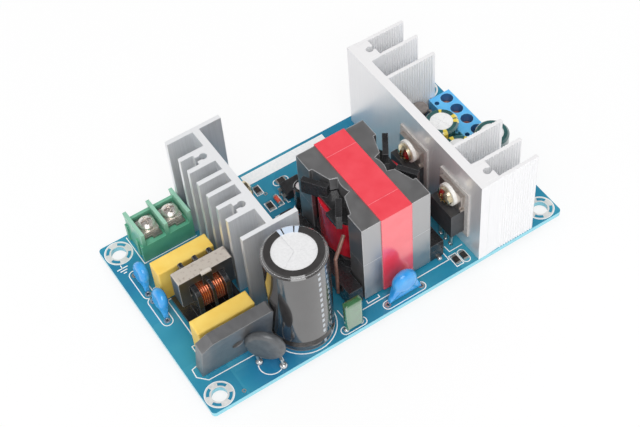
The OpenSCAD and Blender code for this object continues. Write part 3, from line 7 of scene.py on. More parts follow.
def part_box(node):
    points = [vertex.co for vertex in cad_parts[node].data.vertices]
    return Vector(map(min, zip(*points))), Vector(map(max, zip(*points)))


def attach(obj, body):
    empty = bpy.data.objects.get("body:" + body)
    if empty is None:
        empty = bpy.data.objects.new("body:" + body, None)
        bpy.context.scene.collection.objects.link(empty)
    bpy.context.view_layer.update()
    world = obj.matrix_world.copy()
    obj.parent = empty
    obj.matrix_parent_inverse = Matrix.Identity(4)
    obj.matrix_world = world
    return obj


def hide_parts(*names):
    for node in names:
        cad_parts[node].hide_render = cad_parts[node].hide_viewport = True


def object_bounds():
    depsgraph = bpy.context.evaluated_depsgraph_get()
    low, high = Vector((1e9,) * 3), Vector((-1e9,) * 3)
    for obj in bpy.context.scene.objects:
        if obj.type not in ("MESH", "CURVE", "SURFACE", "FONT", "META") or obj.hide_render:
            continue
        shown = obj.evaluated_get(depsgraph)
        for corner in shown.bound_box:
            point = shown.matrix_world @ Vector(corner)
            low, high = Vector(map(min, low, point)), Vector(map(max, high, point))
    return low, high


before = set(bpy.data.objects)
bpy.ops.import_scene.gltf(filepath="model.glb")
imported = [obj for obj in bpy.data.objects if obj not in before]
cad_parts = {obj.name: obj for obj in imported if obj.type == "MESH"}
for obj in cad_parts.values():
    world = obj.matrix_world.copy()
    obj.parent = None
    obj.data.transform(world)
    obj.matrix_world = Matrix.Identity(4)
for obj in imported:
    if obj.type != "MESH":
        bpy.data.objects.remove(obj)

cad_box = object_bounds()

# Camera
# A long lens looks down on the board from above its front left corner, so that
# the mains end is near and the output end is far. Places are millimetres.
MM = 0.001
PHOTO_W = 640
FOCAL_PX = 1436.77
SENSOR_MM = 36.0
CLIP_NEAR = 10.0
CLIP_FAR = 10000.0
CAMERA_AT = Vector((-123.505, -220.239, 335.05)) * MM
CAMERA_RIGHT = Vector((0.8365, -0.5449, -0.0584)).normalized()
CAMERA_FORWARD = Vector((0.2952, 0.5379, -0.7896)).normalized()

camera = bpy.data.objects.new("camera", bpy.data.cameras.new("camera"))
bpy.context.scene.collection.objects.link(camera)
camera.data.sensor_width = SENSOR_MM
camera.data.lens = FOCAL_PX / PHOTO_W * SENSOR_MM
camera.data.clip_start = CLIP_NEAR * MM
camera.data.clip_end = CLIP_FAR * MM
camera_up = CAMERA_RIGHT.cross(CAMERA_FORWARD).normalized()
camera_right = CAMERA_FORWARD.cross(camera_up).normalized()
turned = Matrix((camera_right, camera_up, -CAMERA_FORWARD)).transposed().to_4x4()
camera.matrix_world = Matrix.Translation(CAMERA_AT) @ turned
bpy.context.scene.camera = camera
bpy.context.scene.view_settings.view_transform = "Standard"


# Circuit board
# Glass laminate, 1.6 mm thick, under a glossy blue-green solder mask. Copper areas
# show through the mask as slightly different patches, and the sawn edge is paler.
BOARD_TOP = 1.6
MASK = (48, 144, 174)
MASK_DEEP = (30, 120, 160)
MASK_PALE = (68, 162, 186)
EDGE_GLASS = (138, 212, 228)
POUR_SIZE = 15.0
POUR_SHARE = 0.24
DRIFT_SIZE = 24.0
DRIFT_GAIN = 1.1
DRIFT_SHIFT = -0.18
# Painted shade on the board round the bridge and inrush limiter: its colour, middle and radius
SHADE_BLUE_PAINT = (26, 98, 156)
SHADE_PATCH_AT = (-35.0, -27.0)
SHADE_PATCH_R = 15.0
LEVEL_FACE = 0.5
GRAIN_DETAIL = 4.0
EDGE_FLAT = 0.99
EDGE_TURNED = 0.86


def tint(rgb):
    """Screen colour, 0 to 255 a channel, as the linear colour a shader takes."""
    return (*Color([c / 255 for c in rgb]).from_srgb_to_scene_linear(), 1.0)


def finish(name, rgb, rough, metal=0.0, ior=1.5, coat=0.0, coat_rough=0.05, coat_ior=1.5):
    """New material with one plain colour, to be worked up by the helpers below."""
    mat = bpy.data.materials.new(name)
    mat.use_nodes = True
    shader = mat.node_tree.nodes["Principled BSDF"]
    shader.inputs["Base Color"].default_value = tint(rgb)
    shader.inputs["Roughness"].default_value = rough
    shader.inputs["Metallic"].default_value = metal
    shader.inputs["IOR"].default_value = ior
    shader.inputs["Coat Weight"].default_value = coat
    shader.inputs["Coat Roughness"].default_value = coat_rough
    shader.inputs["Coat IOR"].default_value = coat_ior
    return mat


def add(mat, kind, **values):
    """New shader node in a material or the world, with settings by attribute name."""
    node = mat.node_tree.nodes.new(kind)
    for key, value in values.items():
        setattr(node, key, value)
    return node


def wire(mat, a, b):
    """Link from an output to an input."""
    mat.node_tree.links.new(a, b)


def socket(mat, name):
    """Input of the material's main shader."""
    return mat.node_tree.nodes["Principled BSDF"].inputs[name]


def place_of(mat, stretch=(1, 1, 1)):
    """Point on the piece in metres, stretched for grain that runs one way."""
    coord = add(mat, "ShaderNodeTexCoord")
    mapping = add(mat, "ShaderNodeMapping")
    mapping.inputs["Scale"].default_value = stretch
    wire(mat, coord.outputs["Object"], mapping.inputs["Vector"])
    return mapping.outputs["Vector"]


def axis_of(mat, vector, axis):
    """The X, Y or Z of a vector."""
    split = add(mat, "ShaderNodeSeparateXYZ")
    wire(mat, vector, split.inputs["Vector"])
    return split.outputs[axis]


def sum_up(mat, operation, field, *values):
    """One sum on a field, with a number or another field for each further value."""
    node = add(mat, "ShaderNodeMath", operation=operation)
    wire(mat, field, node.inputs[0])
    for i, value in enumerate(values):
        if isinstance(value, (int, float)):
            node.inputs[i + 1].default_value = value
        else:
            wire(mat, value, node.inputs[i + 1])
    return node.outputs["Value"]


def spread(mat, field, low, high, to_low=0.0, to_high=1.0):
    """Field from low to high stretched to another range and held at its ends."""
    node = add(mat, "ShaderNodeMapRange")
    for key, value in (("From Min", low), ("From Max", high), ("To Min", to_low), ("To Max", to_high)):
        node.inputs[key].default_value = value
    wire(mat, field, node.inputs["Value"])
    return node.outputs["Result"]


def noise(mat, size_mm, stretch=(1, 1, 1), detail=3.0):
    """Soft random field whose spots are about size_mm across."""
    node = add(mat, "ShaderNodeTexNoise")
    node.inputs["Scale"].default_value = 1 / (size_mm * MM)
    node.inputs["Detail"].default_value = detail
    wire(mat, place_of(mat, stretch), node.inputs["Vector"])
    return node.outputs["Fac"]


def ramp(mat, field, stops):
    """Field from 0 to 1 turned into colours: stops are (place, screen colour)."""
    node = add(mat, "ShaderNodeValToRGB")
    band = node.color_ramp
    while len(band.elements) < len(stops):
        band.elements.new(0.5)
    for element, (at, rgb) in zip(band.elements, stops):
        element.position = at
        element.color = tint(rgb)
    wire(mat, field, node.inputs["Fac"])
    return node.outputs["Color"]


def paint(mat, mask, rgb, amount=1.0):
    """Lays rgb over the present base colour where mask is 1."""
    base = socket(mat, "Base Color")
    mix = add(mat, "ShaderNodeMix", data_type="RGBA")
    under, over = [each for each in mix.inputs if each.type == "RGBA"]
    if base.is_linked:
        wire(mat, base.links[0].from_socket, under)
    else:
        under.default_value = base.default_value
    over.default_value = tint(rgb)
    wire(mat, sum_up(mat, "MULTIPLY", mask, amount), mix.inputs["Factor"])
    wire(mat, [each for each in mix.outputs if each.type == "RGBA"][0], base)


def relief(mat, size_mm, depth_mm, stretch=(1, 1, 1), edge_mm=0.0, edge_rub_glint=None, strength=0.4):
    """Fine surface grain, and edges slightly broken whose rounding may be painted another colour: some rub,
    and mostly a paler painted highlight along the edge.
    """
    bump = add(mat, "ShaderNodeBump")
    bump.inputs["Strength"].default_value = strength
    bump.inputs["Distance"].default_value = depth_mm * MM
    wire(mat, noise(mat, size_mm, stretch, GRAIN_DETAIL), bump.inputs["Height"])
    if edge_mm:
        bevel = add(mat, "ShaderNodeBevel", samples=6)
        bevel.inputs["Radius"].default_value = edge_mm * MM
        wire(mat, bevel.outputs["Normal"], bump.inputs["Normal"])
        if edge_rub_glint:
            dot = add(mat, "ShaderNodeVectorMath", operation="DOT_PRODUCT")
            wire(mat, bevel.outputs["Normal"], dot.inputs[0])
            wire(mat, add(mat, "ShaderNodeNewGeometry").outputs["True Normal"], dot.inputs[1])
            # Painted highlight with some rub: the edge colour, paler than the face on most finishes, is laid
            # where the rounded edge turns
            paint(mat, spread(mat, dot.outputs["Value"], EDGE_FLAT, EDGE_TURNED), edge_rub_glint)
    wire(mat, bump.outputs["Normal"], socket(mat, "Normal"))


def facing(mat, axis):
    """How far the face looks along an axis, from -1 to 1."""
    return axis_of(mat, add(mat, "ShaderNodeNewGeometry").outputs["True Normal"], axis)


def polar(mat, x_mm, y_mm):
    """Angle and distance about an upright axis, in radians and metres."""
    place = place_of(mat)
    off_x = sum_up(mat, "SUBTRACT", axis_of(mat, place, "X"), x_mm * MM)
    off_y = sum_up(mat, "SUBTRACT", axis_of(mat, place, "Y"), y_mm * MM)
    across = sum_up(mat, "MULTIPLY", off_x, off_x)
    square = sum_up(mat, "MULTIPLY_ADD", off_y, off_y, across)
    return sum_up(mat, "ARCTAN2", off_y, off_x), sum_up(mat, "SQRT", square)


def dress(mat, *nodes):
    """Gives the named CAD pieces this material."""
    for name in nodes:
        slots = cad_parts[name].data.materials
        slots.clear()
        slots.append(mat)


mask_finish = finish("solder_mask", MASK, 0.22, coat=0.4, coat_rough=0.06)
pours = add(mask_finish, "ShaderNodeTexVoronoi", distance="CHEBYCHEV")
pours.inputs["Scale"].default_value = 1 / (POUR_SIZE * MM)
wire(mask_finish, place_of(mask_finish), pours.inputs["Vector"])
pour_tone = axis_of(mask_finish, pours.outputs["Color"], "X")
drift = sum_up(mask_finish, "MULTIPLY_ADD", noise(mask_finish, DRIFT_SIZE), DRIFT_GAIN, DRIFT_SHIFT)
mask_tone = sum_up(mask_finish, "MULTIPLY_ADD", pour_tone, POUR_SHARE, drift)
wire(mask_finish, ramp(mask_finish, mask_tone, [(0.2, MASK_DEEP), (0.5, MASK), (0.8, MASK_PALE)]),
     socket(mask_finish, "Base Color"))
# Painted shade: a deeper blue round patch on the board round the bridge and the inrush limiter, for the shade
# they cast
shade_patch_reach = polar(mask_finish, *SHADE_PATCH_AT)[1]
paint(mask_finish, spread(mask_finish, shade_patch_reach, SHADE_PATCH_R * MM, 0.0), SHADE_BLUE_PAINT, 0.8)
sawn = sum_up(mask_finish, "LESS_THAN", sum_up(mask_finish, "ABSOLUTE", facing(mask_finish, "Z")), LEVEL_FACE)
paint(mask_finish, sawn, EDGE_GLASS)
relief(mask_finish, 0.35, 0.006, strength=0.2)
dress(mask_finish, "circuit_board")


# White print on the board
# Screened white ink: outlines of the parts, brackets, a blank label block along the
# back edge and an earth mark. It lies a few hundredths above the mask.
INK_LIFT = 0.03
LINE_W = 0.3
SHARPEST = 0.4
NOISE_LOW = 0.3
NOISE_HIGH = 0.7
DISC_X = -54.4
HOLE_X = 54.5
HOLE_Y = 28.85
HOLES = [(sx * HOLE_X, sy * HOLE_Y) for sx in (-1, 1) for sy in (-1, 1)]
PLATE_R = 4.05
RIM_R = 4.25
BRACKETS = {
    "bridge": [(-55, -17.5), (-56.7, -17.9), (-56.9, -20.7), (-54.5, -23.3), (-39.6, -23.6)],
    "choke": [(-51.0, 5.8), (-51.0, -8.6), (-32.9, -8.6)],
    "mains terminal": [(-50, 32.6), (-50, 21.2), (-32.6, 21.2)],
    "transformer": [(-13.6, -24.6), (-13.5, -28.4), (-7.8, -28.5), (22, -28.5), (22, -25.6)],
    "core foot": [(-5.1, -26.6), (-5.2, -27.6), (-1.3, -27.6), (-1.3, -26.7)],
    "front rectifier": [(23.7, -23.9), (23.8, -26.3), (28.3, -26.3)],
    "glass diode": [(-7.6, 16.1), (-5.4, 16.1), (-5.4, 20.2)],
    "optocoupler": [(-4.2, 21), (-4.2, 15.9), (-3.4, 15.9)],
    "controller chip": [(-10.2, 7.2), (-10.2, 13.4), (-7.4, 13.4)],
}
CASE_FRAMES = [(-52.2, 6, -33.4, 12), (-53, -17.4, -34, -11.4)]
CHIP_FRAMES = [(22.5, -31.8, 24.8, -27.6), (-10.4, 16.0, -8.2, 19.5), (-10.4, 23.2, -8.2, 26.8),
               (21.7, 10, 23.9, 14), (21.7, 16, 23.9, 20), (18.6, 24.9, 22.6, 27.1)]
# Middle, length between the round ends, width and turn in degrees
SLOT_FRAMES = {
    "line disc": (DISC_X, 15.2, 8, 3.2, 90),
    "neutral disc": (DISC_X, 4.0, 8, 3.2, 90),
    "green capacitor": (-12.6, -31.5, 5.4, 2.7, 0),
    "barrier disc": (4.65, -31.3, 11.2, 2.8, 0),
    "front chip": (26.3, -29.8, 2.4, 2.3, 90),
    "back chip": (-1.7, 24.2, 2.6, 2.3, 0),
}
ROUND_FRAMES = {"bulk_capacitor": 9.5, "small_capacitor_primary": 2.9, "output_capacitor_1": 5.35,
                "output_capacitor_2": 5.35, "output_capacitor_3": 5.35}
INRUSH_AT = (-37.9, -28.6)
INRUSH_FRAME_R = 3.5
LABEL = (-10.9, 28.2, 18.4, 32.4)
EARTH_X = -56.2
EARTH_TOP = 24.7
EARTH_W = 0.36
EARTH_BARS = [(23.4, 1.7), (22.5, 1.1), (21.6, 0.5)]


def mottle(mat, low_rgb, high_rgb, size_mm, stretch=(1, 1, 1)):
    """Base colour that wanders between two colours in spots of about size_mm."""
    field = noise(mat, size_mm, stretch)
    wire(mat, ramp(mat, field, [(NOISE_LOW, low_rgb), (NOISE_HIGH, high_rgb)]), socket(mat, "Base Color"))


def middle_of(node):
    """Middle of a CAD piece seen from above, in millimetres."""
    low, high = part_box(node)
    return [(low[k] + high[k]) / 2 / MM for k in (0, 1)]


def new_piece(name, mesh, mat):
    """Object in the scene from a mesh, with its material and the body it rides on."""
    mesh.materials.append(mat)
    obj = bpy.data.objects.new(name, mesh)
    bpy.context.scene.collection.objects.link(obj)
    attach(obj, "root")
    return obj


def lay_faces(name, polygons, z_mm, mat):
    """Thin printed or plated areas at one height: each polygon is a list of points."""
    mesh = bpy.data.meshes.new(name)
    points = []
    faces = []
    for polygon in polygons:
        faces.append(list(range(len(points), len(points) + len(polygon))))
        points += [(x * MM, y * MM, z_mm * MM) for x, y in polygon]
    mesh.from_pydata(points, [], faces)
    new_piece(name, mesh, mat)


def stroke(points, width=LINE_W, closed=False):
    """Line of even width along the points, as one four-sided area a stretch."""
    pts = [Vector(p) for p in points]
    count = len(pts)
    sides = []
    for i, p in enumerate(pts):
        ways = []
        if i or closed:
            ways.append((p - pts[i - 1]).normalized())
        if i + 1 < count or closed:
            ways.append((pts[(i + 1) % count] - p).normalized())
        normals = [Vector((-w.y, w.x)) for w in ways]
        mean = sum(normals, Vector((0, 0))).normalized()
        reach = width / 2 / max(SHARPEST, mean.dot(normals[0]))
        sides.append((p + mean * reach, p - mean * reach))
    areas = []
    for i in range(count if closed else count - 1):
        (left, right), (next_left, next_right) = sides[i], sides[(i + 1) % count]
        areas.append([right, next_right, next_left, left])
    return areas


def arc(cx, cy, r, a0=0, a1=360, steps=40):
    """Points along a round stretch from one direction to another, in degrees."""
    turns = [math.radians(a0 + (a1 - a0) * i / steps) for i in range(steps + 1)]
    return [(cx + r * math.cos(a), cy + r * math.sin(a)) for a in turns]


def ring(cx, cy, r_in, r_out, a0=0, a1=360, steps=40):
    """Ring, or part of one, as four-sided areas."""
    inner = arc(cx, cy, r_in, a0, a1, steps)
    outer = arc(cx, cy, r_out, a0, a1, steps)
    return [[inner[i], outer[i], outer[i + 1], inner[i + 1]] for i in range(steps)]


def stadium(cx, cy, length, width, turn):
    """Slot-shaped outline, length between the centres of its round ends."""
    half = length / 2
    loop = arc(half, 0, width / 2, -90, 90, 12) + arc(-half, 0, width / 2, 90, 270, 12)
    c, s = math.cos(math.radians(turn)), math.sin(math.radians(turn))
    return stroke([(cx + x * c - y * s, cy + x * s + y * c) for x, y in loop], closed=True)


def corners(x0, y0, x1, y1):
    """The four corners of an oblong."""
    return [(x0, y0), (x1, y0), (x1, y1), (x0, y1)]


ink = finish("white_ink", (248, 250, 250), 0.5)
mottle(ink, (240, 245, 246), (252, 253, 253), 0.8)
relief(ink, 0.2, 0.005, strength=0.2)
outlines = []
for path in BRACKETS.values():
    outlines += stroke(path)
for box in CASE_FRAMES + CHIP_FRAMES:
    outlines += stroke(corners(*box), closed=True)
for slot_sizes in SLOT_FRAMES.values():
    outlines += stadium(*slot_sizes)
for node, r in ROUND_FRAMES.items():
    outlines += stroke(arc(*middle_of(node), r))
outlines += stroke(arc(*INRUSH_AT, INRUSH_FRAME_R))
outlines += stroke([(EARTH_X, EARTH_TOP), (EARTH_X, EARTH_BARS[0][0])])
for y, half in EARTH_BARS:
    outlines += stroke([(EARTH_X - half, y), (EARTH_X + half, y)], EARTH_W)
for x, y in HOLES:
    outlines += ring(x, y, PLATE_R, RIM_R)
lay_faces("board_print", outlines, BOARD_TOP + INK_LIFT, ink)
lay_faces("board_label", [corners(*LABEL)], BOARD_TOP + INK_LIFT, ink)


# Plated rings and pads
# Tinned copper left free of mask: a wide ring with four masked windows round each
# mounting hole, a small ring round each slender lead, and a few lone vias.
HOLE_R = 2.25
WINDOW_R = (2.75, 3.65)
WINDOW_FROM = 25
WINDOW_TO = 70
WINDOW_STEPS = 8
PAD_R = (0.42, 0.95)
VIA_R = (0.3, 0.62)
PAD_STEPS = 20
PAD_PLACES = [(DISC_X, 11.2), (DISC_X, 19.2), (DISC_X, 0.2), (DISC_X, 8.2), (-42.5, 14.8), (-37.5, 14.8),
              (-1.0, -31.2), (10.4, -31.2), (-15, -31.4), (-10.2, -31.4)]
VIA_PLACES = [(-48.4, -31.7), (-8.0, 22.6), (13.5, 22.0), (16.0, 17.0), (54.0, 20.5)]
tin = finish("tinned_copper", (216, 216, 214), 0.3, metal=0.8)
mottle(tin, (198, 198, 196), (228, 228, 226), 0.7)
relief(tin, 0.5, 0.02, strength=0.3)
plate_tin = finish("plated_ring", (232, 233, 231), 0.4, metal=0.2)
mottle(plate_tin, (222, 224, 223), (240, 241, 239), 1.2)
relief(plate_tin, 0.8, 0.015, strength=0.25)
plating = []
windows = []
for x, y in HOLES:
    plating += ring(x, y, HOLE_R, PLATE_R)
    for quarter in (0, 90, 180, 270):
        windows += ring(x, y, *WINDOW_R, quarter + WINDOW_FROM, quarter + WINDOW_TO, WINDOW_STEPS)
pads = []
for places, radii in ((PAD_PLACES, PAD_R), (VIA_PLACES, VIA_R)):
    for x, y in places:
        pads += ring(x, y, *radii, steps=PAD_STEPS)
lay_faces("hole_plating", plating, BOARD_TOP + INK_LIFT, plate_tin)
lay_faces("hole_plating_under", plating, -INK_LIFT, plate_tin)
lay_faces("plating_windows", windows, BOARD_TOP + 2 * INK_LIFT, mask_finish)
lay_faces("lead_pads", pads, BOARD_TOP + INK_LIFT, tin)


# Solder
# Tin solder: drawn-up cones round the cut leads under the board, and round beads that
# stand on the upper side at the stout leads. A bead has a place, a radius and a height.
BEADS = [(-40.3, -26.4, 1.15, 1.2), (-35.5, -31.2, 1.25, 1.3), (-15.0, -31.4, 0.95, 0.9),
         (-10.2, -31.4, 0.95, 0.9), (20.1, -26.6, 0.85, 0.9), (25.7, -23.9, 0.6, 0.5),
         (25.7, -21.7, 0.6, 0.5), (25.7, -19.4, 0.6, 0.5)]
BEAD_OUTLINE = [(1.0, 0.0), (0.98, 0.25), (0.86, 0.55), (0.62, 0.82), (0.3, 0.97)]
BEAD_STEPS = 24


def solder_bead(name, x, y, r, h):
    """Round bead on the board, its outline turned about an upright axis and closed at both ends."""
    bm = bmesh.new()
    rows = []
    for wide, high in BEAD_OUTLINE:
        circle = arc(x, y, r * wide, steps=BEAD_STEPS)[:-1]
        rows.append([bm.verts.new(Vector((*p, BOARD_TOP + h * high)) * MM) for p in circle])
    for lower, upper in zip(rows, rows[1:]):
        for i in range(BEAD_STEPS):
            j = (i + 1) % BEAD_STEPS
            bm.faces.new((lower[i], lower[j], upper[j], upper[i]))
    bm.faces.new(rows[-1])
    bm.faces.new(list(reversed(rows[0])))
    for face in bm.faces:
        face.smooth = True
    mesh = bpy.data.meshes.new(name)
    bm.to_mesh(mesh)
    bm.free()
    new_piece(name, mesh, solder)


solder = finish("tin_solder", (214, 215, 216), 0.16, metal=0.9)
mottle(solder, (196, 197, 199), (228, 229, 230), 0.5)
relief(solder, 0.4, 0.03, strength=0.4)
dress(solder, "solder_joints")
for i, bead in enumerate(BEADS):
    solder_bead("solder_bead_%d" % (i + 1), *bead)


# Mains input terminal
# Two-pole barrier block in satin green plastic with tall thin partition walls, painted paler
# towards their tops for the light that comes through them. Plated contacts lie on its deck
# under clamp washers and pan-head screws.
WALL_FOOT = 8.5
WALL_PAINTED_GLOW = (182, 226, 204)


def sheen(mat, low, high, size_mm, stretch=(1, 1, 1)):
    """Roughness that wanders from low to high, as handling and moulding leave it."""
    field = noise(mat, size_mm, stretch)
    wire(mat, spread(mat, field, NOISE_LOW, NOISE_HIGH, low, high), socket(mat, "Roughness"))


terminal_green = finish("terminal_green", (86, 166, 134), 0.36, coat=0.15, coat_rough=0.2)
mottle(terminal_green, (76, 156, 124), (100, 176, 146), 6)
wall_height = axis_of(terminal_green, place_of(terminal_green), "Z")
wall_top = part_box("input_terminal_housing")[1][2]
# Painted light: the upper walls are painted paler for the light that comes through them
paint(terminal_green, spread(terminal_green, wall_height, WALL_FOOT * MM, wall_top), WALL_PAINTED_GLOW, 0.7)
sheen(terminal_green, 0.3, 0.44, 1.5)
relief(terminal_green, 0.25, 0.02, edge_mm=0.15, edge_rub_glint=(128, 200, 164), strength=0.3)
dress(terminal_green, "input_terminal_housing")
nickel = finish("nickel_plate", (231, 223, 216), 0.28, metal=0.75)
mottle(nickel, (225, 216, 208), (237, 231, 226), 1.6)
sheen(nickel, 0.22, 0.34, 1.2)
relief(nickel, 0.4, 0.006, edge_mm=0.18, edge_rub_glint=(240, 236, 232), strength=0.15)
dress(nickel, "input_terminal_clamps", "input_terminal_screws")
dull_plate = finish("dull_plate", (132, 134, 128), 0.4, metal=0.7)
mottle(dull_plate, (120, 122, 116), (146, 148, 142), 1.4)
relief(dull_plate, 0.4, 0.01, edge_mm=0.15, edge_rub_glint=(186, 186, 180), strength=0.2)
dress(dull_plate, "input_terminal_contacts")


# Blue disc parts
# Varistor, two mains-rated disc capacitors and the one across the barrier: ceramic
# discs dipped in glossy blue resin that runs down between the legs in one soft drop.
LEG_TIN = (210, 210, 208)
RESIN_STEP = 0.14
RESIN_SPAN = 0.43
RESIN_DEPTH = 0.4
FOOT_IN = 0.2
FOOT_HALF = 0.55
FOOT_TOP = 0.9
SKIN_FROM = 0.05
LEADS_TO = 0.3
FLOW_ROUNDS = 32
RESIN_BARE = 0.25
# Place, turn and lean in degrees, width, thickness, leg spacing and height of the middle
DISC_PARTS = {
    "varistor": (-40.0, 14.8, 0, 0, 7.4, 3.6, 5.0, 5.6),
    "y_capacitor_line": (DISC_X, 15.2, -90, 9, 6.8, 2.9, 8.0, 5.3),
    "y_capacitor_neutral": (DISC_X, 4.2, -90, 9, 6.8, 2.9, 8.0, 5.3),
    "barrier_capacitor": (4.69, -31.2, 0, 0, 7.8, 3.4, 11.4, 7.2),
}


def tin_legs(mat, z_mm):
    """Bare tinned wire below a height: colour and metal change there."""
    low = sum_up(mat, "LESS_THAN", axis_of(mat, place_of(mat), "Z"), z_mm * MM)
    paint(mat, low, LEG_TIN)
    wire(mat, low, socket(mat, "Metallic"))


def cut_off(source, z_mm, keep_upper):
    """Part of a CAD mesh above or below a level, closed again at the cut."""
    bm = bmesh.new()
    bm.from_mesh(source)
    cut = bmesh.ops.bisect_plane(bm, geom=bm.verts[:] + bm.edges[:] + bm.faces[:], dist=1e-7,
                                 plane_co=(0, 0, z_mm * MM), plane_no=(0, 0, 1),
                                 clear_inner=keep_upper, clear_outer=not keep_upper)
    bmesh.ops.holes_fill(bm, edges=[e for e in cut["geom_cut"] if isinstance(e, bmesh.types.BMEdge)])
    return bm


def dipped(name, mat, x, y, turn, lean, wide, thick, pitch, mid_z):
    """Soft dipped body in the place of a CAD disc: the disc, resin down to its feet, bare leads."""
    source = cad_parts[name].data
    body = cut_off(source, BOARD_TOP + SKIN_FROM, True)
    at = (Matrix.Translation(Vector((x, y, BOARD_TOP)) * MM) @ Matrix.Rotation(math.radians(turn), 4, "Z")
          @ Matrix.Rotation(math.radians(-lean), 4, "X"))
    resin = []
    for sx in (-1, 1):
        for sy in (-1, 1):
            side = Vector((sx * wide * RESIN_SPAN, sy * thick * RESIN_DEPTH, mid_z))
            foot = Vector((sx * (pitch / 2 - FOOT_IN), sy * FOOT_HALF, FOOT_TOP))
            resin += [body.verts.new(at @ (point * MM)) for point in (side, foot)]
    bmesh.ops.convex_hull(body, input=resin)
    skin = bpy.data.meshes.new(name + "_skin")
    body.to_mesh(skin)
    body.free()
    obj = new_piece(name + "_dip", skin, mat)
    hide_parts(name)
    voxels = obj.modifiers.new("voxels", "REMESH")
    voxels.mode = "VOXEL"
    voxels.voxel_size = RESIN_STEP * MM
    flow = obj.modifiers.new("flow", "SMOOTH")
    flow.factor = 0.5
    flow.iterations = FLOW_ROUNDS
    shaped = obj.evaluated_get(bpy.context.evaluated_depsgraph_get())
    whole = bmesh.new()
    whole.from_mesh(bpy.data.meshes.new_from_object(shaped))
    leads = cut_off(source, BOARD_TOP + LEADS_TO, False)
    lead_mesh = bpy.data.meshes.new(name + "_leads")
    leads.to_mesh(lead_mesh)
    leads.free()
    whole.from_mesh(lead_mesh)
    for face in whole.faces:
        face.smooth = True
    obj.modifiers.clear()
    whole.to_mesh(skin)
    whole.free()


blue_resin = finish("blue_resin", (56, 158, 230), 0.2, coat=0.5, coat_rough=0.05)
mottle(blue_resin, (44, 148, 224), (72, 172, 238), 3)
relief(blue_resin, 1.6, 0.1, strength=0.3)
tin_legs(blue_resin, BOARD_TOP + RESIN_BARE)
dress(blue_resin, *DISC_PARTS)
for disc_name, disc_sizes in DISC_PARTS.items():
    dipped(disc_name, blue_resin, *disc_sizes)


# Yellow film capacitors
# Two mains-rated film capacitors in satin yellow moulded boxes, one at each side of
# the choke, filled with resin from below and seated on the board.
CASE_BARE = 0.4
yellow_case = finish("yellow_case", (251, 212, 98), 0.4, coat=0.1, coat_rough=0.25)
mottle(yellow_case, (248, 206, 90), (254, 219, 112), 5)
sheen(yellow_case, 0.34, 0.5, 1.2)
relief(yellow_case, 0.22, 0.025, edge_mm=0.35, edge_rub_glint=(254, 226, 138), strength=0.3)
tin_legs(yellow_case, CASE_BARE)
dress(yellow_case, "x_capacitor_input", "x_capacitor_output")


# Common-mode choke
# Ferrite ring on edge, its upper face ground and painted pale for the light it reflects, a
# sectioned black bobbin round its lower bar, hooked over its edge, with a painted glint along
# the hook's top, and two bays of enamelled copper wire, a few layers deep.
TOP_PAINTED_LIGHT = (202, 192, 180)
RUST = (150, 130, 116)
RUST_SIZE = 1.1
RUST_FROM = 0.55
RUST_FULL = 0.7
HOOK_GLINT_DEPTH = 0.5
HOOK_GLINT = (222, 214, 203)
choke_ferrite = finish("choke_ferrite", (46, 43, 42), 0.3, ior=2.4)
mottle(choke_ferrite, (40, 36, 35), (56, 52, 50), 2.2)
# Painted light: the upward faces of the core are painted pale for the light their ground, glossy top
# reflects; rust specks lie only there
painted_lit_top = sum_up(choke_ferrite, "GREATER_THAN", facing(choke_ferrite, "Z"), LEVEL_FACE)
paint(choke_ferrite, painted_lit_top, TOP_PAINTED_LIGHT)
rust = spread(choke_ferrite, noise(choke_ferrite, RUST_SIZE), RUST_FROM, RUST_FULL)
paint(choke_ferrite, sum_up(choke_ferrite, "MULTIPLY", painted_lit_top, rust), RUST, 0.7)
relief(choke_ferrite, 0.18, 0.03, edge_mm=0.3, edge_rub_glint=(206, 198, 188))
dress(choke_ferrite, "choke_core")
choke_black = finish("choke_black", (34, 34, 36), 0.22, ior=1.7, coat=0.4, coat_rough=0.08)
mottle(choke_black, (28, 28, 30), (44, 44, 46), 4)
relief(choke_black, 0.3, 0.03, edge_mm=0.25, edge_rub_glint=(110, 110, 112), strength=0.35)
# Painted highlight: the top of the bobbin's hook, at the front, is painted pale for the glint along it
hook_place = place_of(choke_black)
hook_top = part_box("choke_bobbin")[1][2] - HOOK_GLINT_DEPTH * MM
hook_glint_mask = sum_up(choke_black, "GREATER_THAN", axis_of(choke_black, hook_place, "Z"), hook_top)
choke_y = middle_of("choke_core")[1] * MM
in_front = sum_up(choke_black, "LESS_THAN", axis_of(choke_black, hook_place, "Y"), choke_y)
paint(choke_black, sum_up(choke_black, "MULTIPLY", hook_glint_mask, in_front), HOOK_GLINT, 0.9)
dress(choke_black, "choke_bobbin")
copper = finish("enamelled_copper", (240, 142, 96), 0.24, metal=0.8, coat=0.8, coat_rough=0.08)
mottle(copper, (228, 120, 74), (249, 164, 120), 0.9)
relief(copper, 0.5, 0.02, strength=0.3)
dress(copper, "choke_winding_line", "choke_winding_neutral")


# Bridge rectifier
# Four-lead bridge moulded in satin dark grey resin with a cut corner that marks its
# plus side. Its flat tinned leads stand in the board and it leans forward on them.
BRIDGE_BARE = 0.5
bridge_grey = finish("bridge_grey", (90, 90, 92), 0.36, ior=2.7)
mottle(bridge_grey, (82, 82, 84), (100, 100, 102), 3)
sheen(bridge_grey, 0.3, 0.44, 1.0)
relief(bridge_grey, 0.16, 0.03, edge_mm=0.25, edge_rub_glint=(112, 112, 114), strength=0.45)
tin_legs(bridge_grey, BOARD_TOP + BRIDGE_BARE)
dress(bridge_grey, "bridge_rectifier")


